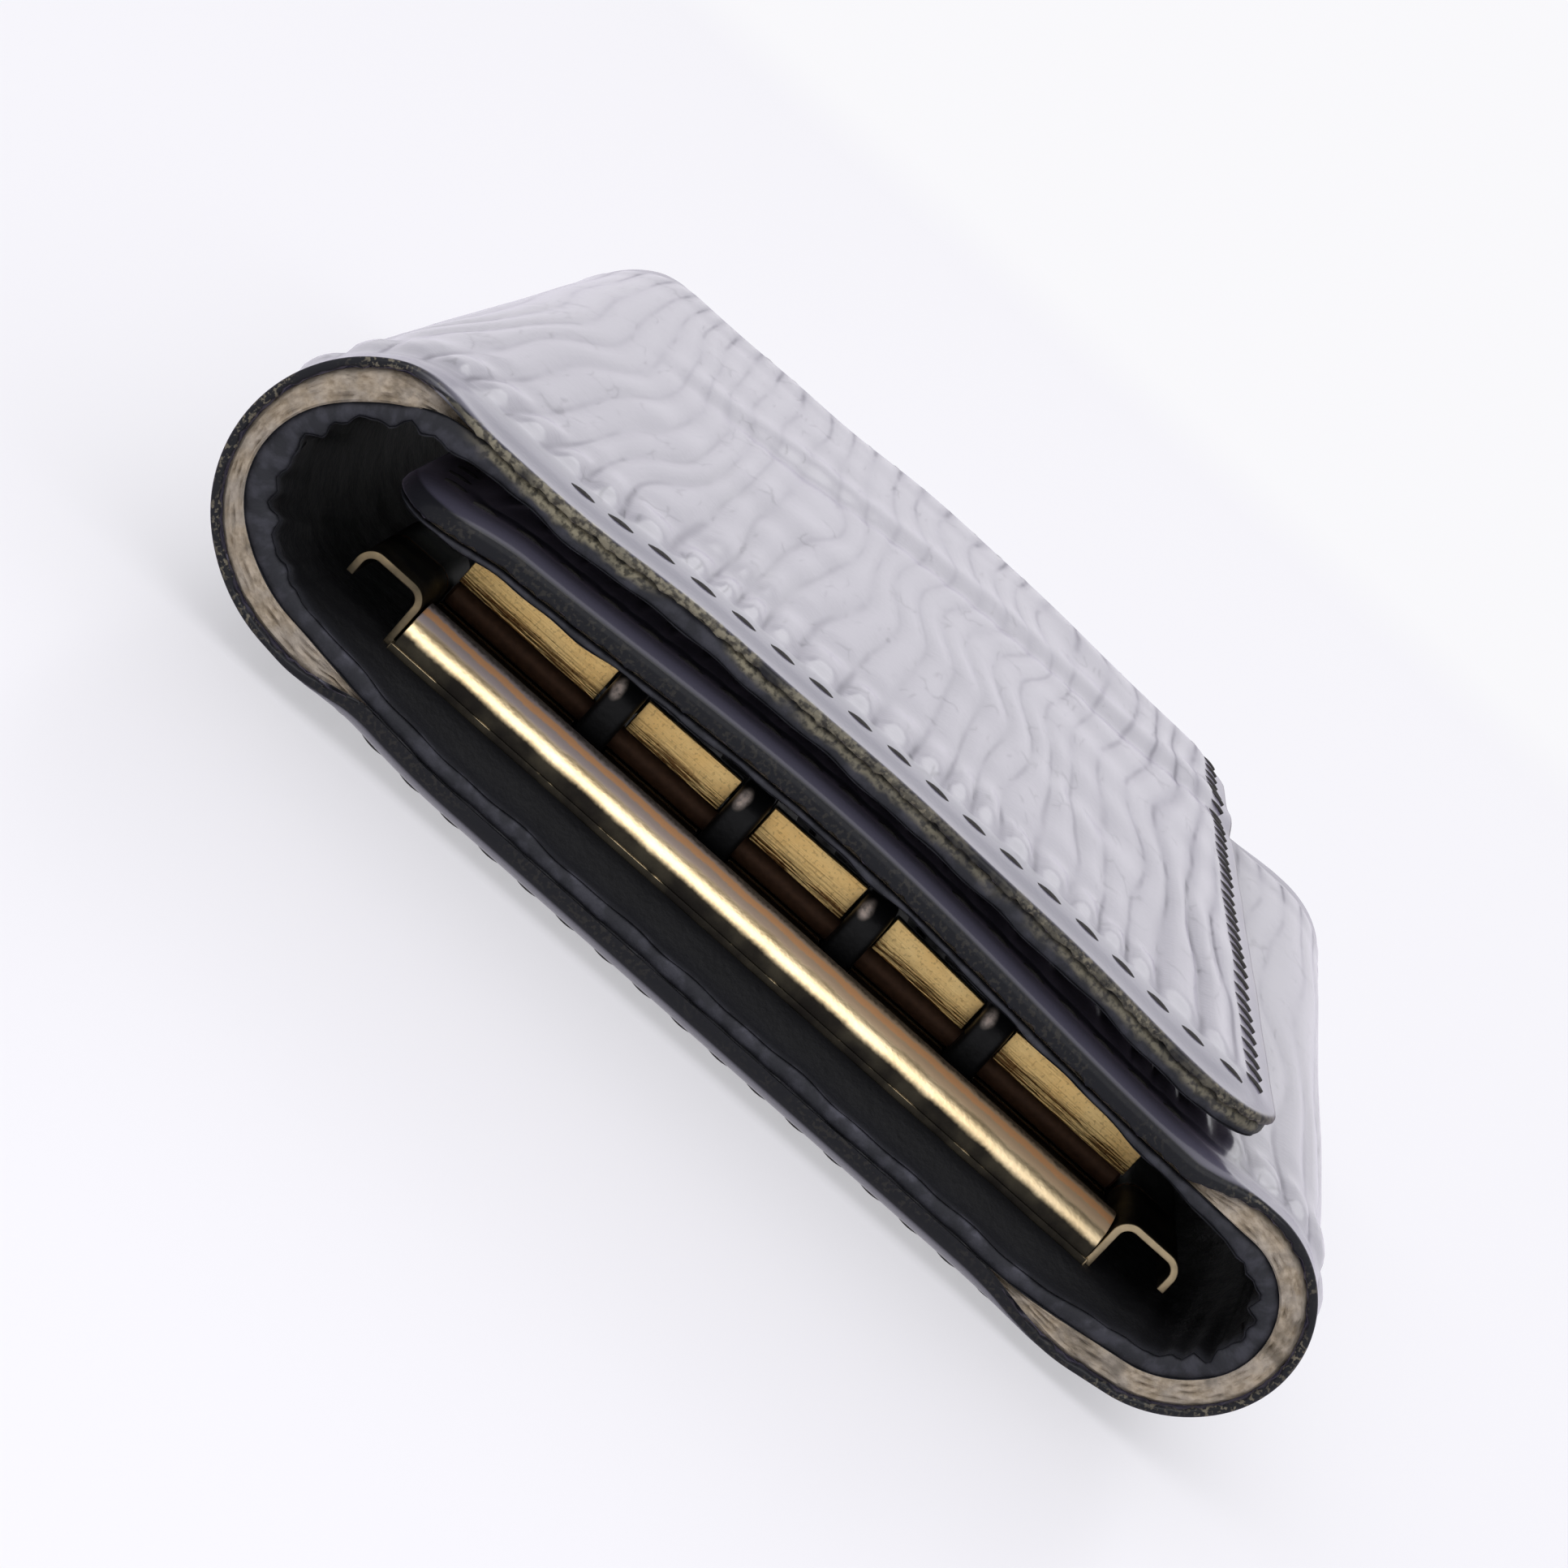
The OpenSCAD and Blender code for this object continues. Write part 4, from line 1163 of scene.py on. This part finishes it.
for node, width, reshape in (("hook_plate", 0.09 * MM, knuckle_wear), ("mounting_plate", 0.06 * MM, None)):
    made = softened(node, width, "back_panel", aged_brass, reshape)
    print(made.name, len(made.data.polygons), "faces")

# %% [markdown]
# The hooks are steel with a black coating that has worn through to grey metal on their round heads. That
# pale patch is part wear and part a painted highlight. Each hook could have a finish of its own, but the worn
# patch is measured from the nearest head, so one finish serves all four. The smaller pieces are plain: bright
# steel, a dark brown rod, and the yellow brass of rivets and press stud.

# %% Steel and small brass
HOOK_X = middle("hook_1")[0]
HOOK_PITCH = (low("hook_4")[0] - low("hook_1")[0]) / 3
HEAD_Z = 7.7 * MM


def coated():
    paint = Paint("dark_steel")
    [point] = paint.source("ShaderNodeTexCoord", "Object")
    x, y, z = paint.parts(point)
    fine = paint.noise(point, 0.3, 3.0)
    cloud = paint.noise(point, 1.2, 3.0)
    beside = (((x - HOOK_X) / HOOK_PITCH + 0.5).maths("FRACT") - 0.44) * (HOOK_PITCH / MM)
    height = (z - HEAD_Z) / MM
    away = (beside * beside * 2.2 + height * height).maths("SQRT") + (cloud - 0.5) * 0.6
    # The pale patch is part wear and part a painted highlight. It is pale and has little metal, so it shows
    # in the shade under the flap.
    worn = (1 - away.step(0.12, 0.72)) * (1 - y.rise(0.2, 0.8, ROD_Y))
    colour = paint.mix((worn * (fine * 2.4 - 0.35)).clamp(), (0.006, 0.006, 0.007), (0.95, 0.80, 0.68))
    return paint.finish(Base_Color=colour, Roughness=0.42 + worn * 0.1 + fine * 0.12,
                        Metallic=0.5 - worn * 0.35, Normal=paint.bump(fine, 0.02))


def plain_steel():
    paint = Paint("plain_steel")
    [point] = paint.source("ShaderNodeTexCoord", "Object")
    fine = paint.noise(point, 0.3, 3.0)
    scratches = paint.noise(point, (3, 0.2, 0.2), 2.0)
    colour = paint.mix(fine, (0.42, 0.41, 0.40), (0.58, 0.57, 0.55))
    return paint.finish(Base_Color=colour, Roughness=0.26 + scratches * 0.16, Metallic=1.0,
                        Normal=paint.bump(scratches, 0.008))


def rod_steel():
    paint = Paint("rod_steel")
    [point] = paint.source("ShaderNodeTexCoord", "Object")
    fine = paint.noise(point, 0.4, 3.0)
    colour = paint.mix(fine, (0.05, 0.025, 0.014), (0.15, 0.075, 0.04))
    return paint.finish(Base_Color=colour, Roughness=0.55 + fine * 0.2, Metallic=0.6,
                        Normal=paint.bump(fine, 0.02))


def stud_brass():
    paint = Paint("stud_brass")
    [point] = paint.source("ShaderNodeTexCoord", "Object")
    fine = paint.noise(point, 0.3, 3.0)
    cloud = paint.noise(point, 2, 3.0)
    colour = paint.mix(cloud.step(0.35, 0.65), (0.30, 0.20, 0.09), (0.72, 0.54, 0.28))
    return paint.finish(Base_Color=colour, Roughness=0.34 + fine * 0.16, Metallic=1.0,
                        Normal=paint.bump(fine, 0.012))


dark_steel, bright_steel, brown_steel, pale_brass = coated(), plain_steel(), rod_steel(), stud_brass()
print("metals", [m.name for m in (aged_brass, dark_steel, bright_steel, brown_steel, pale_brass)])

# %% [markdown]
# Each hook and its gate are softened copies on their own bodies. The leaf spring between them is fixed to the
# hook and pushed by the gate. Its softened copy is put on no body.

# %% Hooks and small pieces
SOFT_EDGE = 0.08 * MM


def raised_head(point):
    """The hooks' round heads stand a little above the knuckles."""
    return nose(point) * (KNUCKLE_LIFT + 0.65 * MM)


def on_bow(point):
    """The stud sits on the bowed inner flap."""
    return INNER_BOW * float(bowed(STUD_X))


for k in "1234":
    softened("hook_" + k, SOFT_EDGE, "hook_body_" + k, dark_steel, raised_head)
    softened("gate_" + k, SOFT_EDGE, "gate_body_" + k, dark_steel)
    spring = "gate_spring_" + k
    leaf = softened(spring, 0.02 * MM, None, bright_steel)
    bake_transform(leaf)
for name in ("snap_stud", "snap_post"):
    softened(name, 0.05 * MM, "inner_flap", pale_brass, on_bow)

NODE_FINISHES = {"snap_socket": pale_brass, "plate_rivets": pale_brass, "hook_rod": brown_steel,
                 "snap_cap": bright_steel, **{"gate_pin_" + k: bright_steel for k in "1234"}}
for name, finish in NODE_FINISHES.items():
    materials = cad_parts[name].data.materials
    materials.clear()
    materials.append(finish)
print("nodes kept from the model", len(NODE_FINISHES))

# %% [markdown]
# The floor is a glossy white sheet. Its reflection and the soft shadow show that the case really stands on
# it. Far away it fades into the background's colour, so that no edge of it shows.

# %% Floor
WHITE = (0.95, 0.945, 0.97)
FLOOR_HALF = 3.0


def seen_rays(tree):
    """1 for rays from the camera, from a mirror or through glass, 0 for those that carry light."""
    camera_ray, glossy, through = tree.source("ShaderNodeLightPath", "Is Camera Ray", "Is Glossy Ray",
                                              "Is Transmission Ray")
    return camera_ray.maths("MAXIMUM", glossy).maths("MAXIMUM", through)


def floor_finish():
    paint = Paint("white_floor")
    [point] = paint.source("ShaderNodeTexCoord", "Object")
    fade = paint.vector("LENGTH", point).step(0.35, 0.9).maths("MAXIMUM", seen_rays(paint) * 0.5)
    surface = paint.add("ShaderNodeBsdfPrincipled", None,
                        {"Base Color": (0.78, 0.775, 0.8), "Roughness": 0.3, "IOR": 1.35})[0]
    glow = paint.add("ShaderNodeEmission", None, {"Color": WHITE, "Strength": 1.0})[0]
    both = paint.add("ShaderNodeMixShader", None, [fade, surface, glow])[0]
    paint.add("ShaderNodeOutputMaterial", None, [both])
    return paint.material


corners = [(-FLOOR_HALF, -FLOOR_HALF, 0), (FLOOR_HALF, -FLOOR_HALF, 0), (FLOOR_HALF, FLOOR_HALF, 0),
           (-FLOOR_HALF, FLOOR_HALF, 0)]
floor_mesh = bpy.data.meshes.new("floor")
floor_mesh.from_pydata(corners, [], [(0, 1, 2, 3)])
floor_mesh.materials.append(floor_finish())
floor = bpy.data.objects.new("floor", floor_mesh)
floor.location.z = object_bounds()[0][2] - 0.05 * MM
bpy.context.scene.collection.objects.link(floor)
print("floor at %.2f mm" % (floor.location.z / MM))

# %% [markdown]
# The light is a big pale room. The side behind the case is bright and the side of the camera is darker, so
# that the leather shines at a low angle and the metal has dark parts to reflect. A picture of a room would
# do this too, but a few nodes are easier to change.

# %% World
world = bpy.data.worlds.new("pale_room")
world.use_nodes = True
bpy.context.scene.world = world
sky = Tree(world.node_tree)
[direction] = sky.source("ShaderNodeTexCoord", "Generated")
_, away, height = sky.parts(direction)
bright_side = away.step(0.1, 0.85).maths("MAXIMUM", height.step(0.3, 0.5) * 0.9)
level = bright_side * 0.35 + 0.7
room = sky.add("ShaderNodeBackground", None, {"Color": (0.935, 0.92, 1.0), "Strength": level})[0]
wall = sky.add("ShaderNodeBackground", None, {"Color": WHITE, "Strength": 1.0})[0]
mixed = sky.add("ShaderNodeMixShader", None, [seen_rays(sky), room, wall])[0]
sky.add("ShaderNodeOutputWorld", None, [mixed])
print("world nodes", len(world.node_tree.nodes))

# %% [markdown]
# Two soft windows give the room a direction: one behind the case on the right, which draws the ridges, and
# one in front on the left, which lights the brass.

# %% Lamps


def window(name, width, height, energy, location):
    data = bpy.data.lights.new(name, "AREA")
    data.shape = "RECTANGLE"
    data.size, data.size_y = width, height
    data.energy = energy
    made = bpy.data.objects.new(name, data)
    made.location = location
    made.rotation_euler = (-made.location).to_track_quat("-Z", "Y").to_euler()
    bpy.context.scene.collection.objects.link(made)


window("window", 0.9, 0.5, 1, (0.25, 0.55, 0.55))
window("front_window", 0.7, 0.3, 1.3, (-0.1, -0.46, 0.46))
print("lamps", len(bpy.data.lights))

# %% [markdown]
